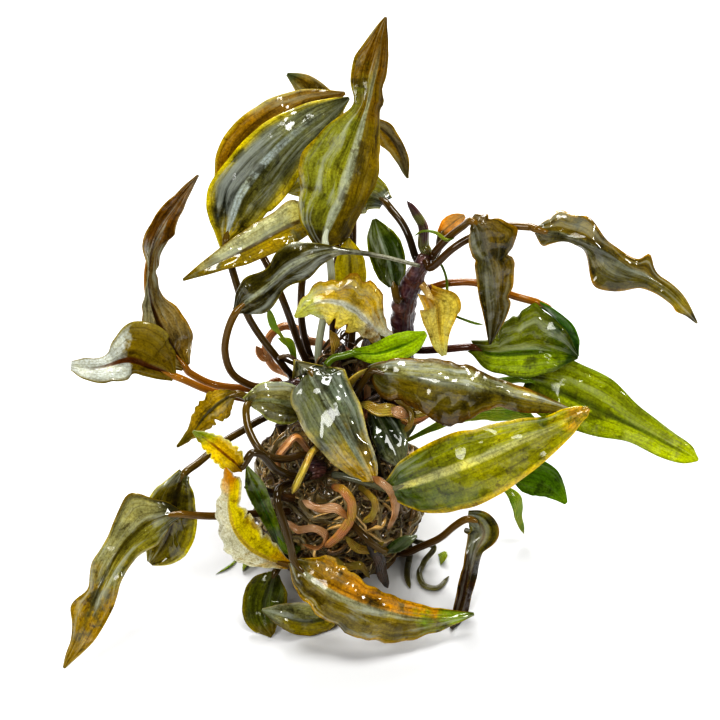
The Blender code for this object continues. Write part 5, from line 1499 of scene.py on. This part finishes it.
# %% [markdown]
# ## The finish of roots and rhizomes
# Fresh roots are fleshy and pale, pink to orange where light gets in, and old ones are brown
# and skinned over. All of them vary along their length and are finely grooved. One node
# group mixes two colours in clouds and returns the grooves as a height.

# %% Group: root skin
CLOUD_HEIGHT = 1.6
GROOVE_LANES = 19.0
GROOVE_DRIFT = 6.0
GROOVE_SHARP = (0.0, 1.0)
GROOVE_SHARE = 0.25
GROOVE_TINT = (0.6, 0.5, 0.42, 1)
TONE_STEP = (0.4, 0.62)

root_skin, given, wanted = new_group(
    "root skin", {"Colour": "colour", "Second Colour": "colour", "Scale": 220.0},
    {"Colour": "colour", "Height": "number"})
clouds = root_skin.cloud(given["Scale"], detail=5.0, roughness=0.5)
lanes = root_skin.times_plus(root_skin.mark("across"), GROOVE_LANES, root_skin.times(clouds, GROOVE_DRIFT))
grooves = root_skin.maths("COSINE", lanes)
tone = root_skin.blend(root_skin.ramp(clouds, *TONE_STEP), given["Colour"], given["Second Colour"])
groove_mask = root_skin.times(root_skin.ramp(grooves, *GROOVE_SHARP), GROOVE_SHARE)
root_skin.feed(wanted, {"Colour": root_skin.tinted(groove_mask, tone, GROOVE_TINT),
                        "Height": root_skin.times_plus(clouds, CLOUD_HEIGHT, grooves)})

# %% Root finishes
ROOT_COLOURS = {
    "plum": ((66, 34, 44), (98, 62, 52), 260.0), "spear": ((84, 40, 36), (110, 110, 30), 200.0),
    "straw": ((206, 184, 70), (196, 160, 60), 220.0), "bark": ((84, 56, 22), (48, 34, 14), 300.0),
    "moss": ((120, 114, 40), (84, 76, 26), 260.0),
    "pink": ((238, 192, 144), (206, 146, 80), 150.0), "salmon": ((232, 160, 124), (236, 186, 128), 180.0),
    "orange": ((234, 166, 112), (220, 178, 62), 180.0), "peat": ((96, 76, 36), (156, 132, 76), 190.0),
    "sprig": ((160, 196, 24), (200, 214, 50), 200.0),
    "fibre_dark": ((106, 78, 36), (156, 122, 70), 160.0),
    "fibre_grey": ((184, 164, 112), (146, 126, 76), 160.0),
    "fibre_gold": ((224, 182, 104), (236, 206, 144), 160.0)}
SEE_THROUGH = ("pink", "salmon", "orange", "straw", "sprig")
ROOT_GLOW = 0.25
ROOT_BUMP = 0.0003
ROOT_COAT = {"Roughness": 0.36, "Coat Weight": 0.6, "Coat Roughness": 0.12}


def root_material(word):
    first, second, scale = ROOT_COLOURS[word]
    material, shader = new_material("root_" + word)
    nodes = Nodes(material.node_tree)
    skin = nodes.group(root_skin, Colour=paint(*first), Second_Colour=paint(*second), Scale=scale)
    grooved = nodes.bump(skin["Height"], ROOT_BUMP)
    nodes.feed(shader, {"Base Color": skin["Colour"], "Normal": grooved, **ROOT_COAT})
    if word in SEE_THROUGH:
        let_through(nodes, shader, skin["Colour"], ROOT_GLOW)
    return material


root_materials = {word: root_material(word) for word in ROOT_COLOURS}
for name, obj in rod_objects.items():
    finish = RODS[name]["finish"] if name in RODS else SCRAPS[name][0]
    obj.data.materials.append(root_materials[finish])
print(len(root_materials), "root finishes")

# %% [markdown]
# ## The root ball
# The ball has kept the shape of its pot, but it is a mat of roots and not a smooth dome. Its
# core is dark and pitted and mostly hidden. Over it lie some nine hundred fibres that wander
# round the ball, cross each other and dive in and out, and some thicker roots among them.
# Real hair would be lost in the export, so every fibre is a thin tube of its own.

# %% Root ball core
CORE_SHRINK = 0.8 * MM
CORE_CUTS = 5
CORE_ROUNDING = 0.6
CORE_PITS = 1.9 * MM
PIT_FINENESS = 330
PIT_NOISE = (0.7, 2.1, 4)

core_mesh = bmesh.new()
core_mesh.from_mesh(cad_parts["root_ball"].data)
bmesh.ops.triangulate(core_mesh, faces=core_mesh.faces[:])
bmesh.ops.subdivide_edges(core_mesh, edges=core_mesh.edges[:], cuts=CORE_CUTS, use_grid_fill=True,
                          smooth=CORE_ROUNDING)
core_mesh.normal_update()
for vert in core_mesh.verts:
    pit = noise.fractal(vert.co * PIT_FINENESS, *PIT_NOISE)
    vert.co += vert.normal * (pit * CORE_PITS - CORE_SHRINK)
    above_floor(vert.co, 0.0)
for face in core_mesh.faces:
    face.smooth = True
core_data = bpy.data.meshes.new("root_ball_core")
core_mesh.to_mesh(core_data)
core_mesh.free()
core = placed("root_ball_core", core_data)
core.data.materials.append(root_materials["peat"])
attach(core, "root")
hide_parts("root_ball")
print("core has", len(core_data.polygons), "faces")

# %% Fibres over the ball
BALL_RADIUS = 26
BALL_HEIGHT = 52
LOW_CROWDING = 0.8
STRAY_START = 0.6
STRAY_LEVEL = 0.3
STRAY_UPWARD = 0.22
LIFT_CHANGE = 0.22 * MM
DEEPEST_LIFT = -0.3 * MM
core_tree = surface_tree(core)


def wandering_route(chance, steps, stride, highest_lift):
    """A walk over the ball: mostly level, as roots circle in a pot, and never straight."""
    turn = chance.uniform(0, 2 * math.pi)
    height = BALL_HEIGHT * MM * chance.random() ** LOW_CROWDING
    spot = Vector((math.cos(turn), math.sin(turn), 0)) * BALL_RADIUS * MM + Vector((0, 0, height))
    around = Vector((-math.sin(turn), math.cos(turn), 0)) * chance.choice((-1, 1))
    way = (around + Vector((0, 0, chance.gauss(0, STRAY_START)))).normalized()
    route = []
    lift = chance.uniform(0, highest_lift)
    for _ in range(steps):
        place, normal, _, _ = core_tree.find_nearest(spot)
        lift = min(max(lift + chance.gauss(0, LIFT_CHANGE), DEEPEST_LIFT), highest_lift)
        route.append(place + normal * lift)
        way += Vector([chance.gauss(0, stray) for stray in (STRAY_LEVEL, STRAY_LEVEL, STRAY_UPWARD)])
        way = (way - normal * way.dot(normal)).normalized()
        spot = place + normal * lift + way * stride
    return route


# %% The tangle under the leaves
CROWN_MIDDLE = sighted(350, 382, 14)
CROWN_REACH = Vector((15, 9, 14)) * MM
CROWN_FILL = 0.9
CROWN_STEPS = 12
CROWN_STRIDE = 0.2
CROWN_STRAY = 0.4
CROWN_PULL = 0.35


def crown_route(chance):
    """A root of the tangle under the leaves: it bends about inside an egg over the ball."""
    spot = Vector([chance.uniform(-CROWN_FILL, CROWN_FILL) for _ in range(3)])
    way = Vector([chance.gauss(0, 1) for _ in range(3)]).normalized()
    route = []
    for _ in range(CROWN_STEPS):
        route.append(CROWN_MIDDLE + Vector([a * b for a, b in zip(spot, CROWN_REACH)]))
        stray = Vector([chance.gauss(0, CROWN_STRAY) for _ in range(3)])
        way = (way + stray - spot * CROWN_PULL).normalized()
        spot += way * CROWN_STRIDE
    return route


# %% Root mats
FIBRE_SIDES = 5
FIBRE_CLEARANCE = 0.1 * MM
FIBRE_TIP = 0.3
FIBRE_TAPER = 4
FINE_WALK = dict(steps=13, stride=2.0 * MM, highest_lift=0.9 * MM)
THICK_WALK = dict(steps=16, stride=2.6 * MM, highest_lift=1.2 * MM)
THICK_SIZES = (0.7, 1.15)
CROWN_SIZES = (0.6, 1.4)
# How many there are, and their radius in mm: fine fibres, thick roots, and roots of the tangle.
ROOT_MATS = {
    "fibre_dark": ((420, 0.28), (36, 0.8), (110, 0.5)),
    "fibre_grey": ((360, 0.3), (60, 0.85), (26, 0.5)),
    "fibre_gold": ((110, 0.34), (50, 0.8), (16, 0.6))}


def fibre_rings(route, radius):
    rows = [list(point) for point in route]
    points = [Vector(row) for row in smooth_rows(rows, even_spots(2 * (len(rows) - 1), 0, len(rows) - 1))]
    ways = tangents(points)
    rings = []
    for i, side in enumerate(carried_sides(ways, ways[0].orthogonal().normalized())):
        taper = min(1.0, FIBRE_TIP + FIBRE_TAPER * min(i, len(points) - 1 - i) / len(points))
        rings.append([(above_floor(points[i] + way * radius * taper, FIBRE_CLEARANCE), math.cos(turn),
                       i / len(points), 0.0)
                      for way, turn in ring_ways(side, ways[i].cross(side), FIBRE_SIDES)])
    return rings


def mat_strands(chance, fine, thick, tangle):
    """The strands of one mat. A root's route is drawn first and its size after it."""
    for _ in range(fine[0]):
        yield fibre_rings(wandering_route(chance, **FINE_WALK), fine[1] * MM)
    for _ in range(thick[0]):
        yield fibre_rings(wandering_route(chance, **THICK_WALK), thick[1] * MM * chance.uniform(*THICK_SIZES))
    for _ in range(tangle[0]):
        yield fibre_rings(crown_route(chance), tangle[1] * MM * chance.uniform(*CROWN_SIZES))


for word, kinds in ROOT_MATS.items():
    strands = [(rings, 0) for rings in mat_strands(random.Random(seed_of(word)), *kinds)]
    mat = lofted("root_mat_" + word, strands)
    mat.data.materials.append(root_materials[word])
    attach(mat, "root")
    print(word, len(strands), "strands,", len(mat.data.polygons), "faces")
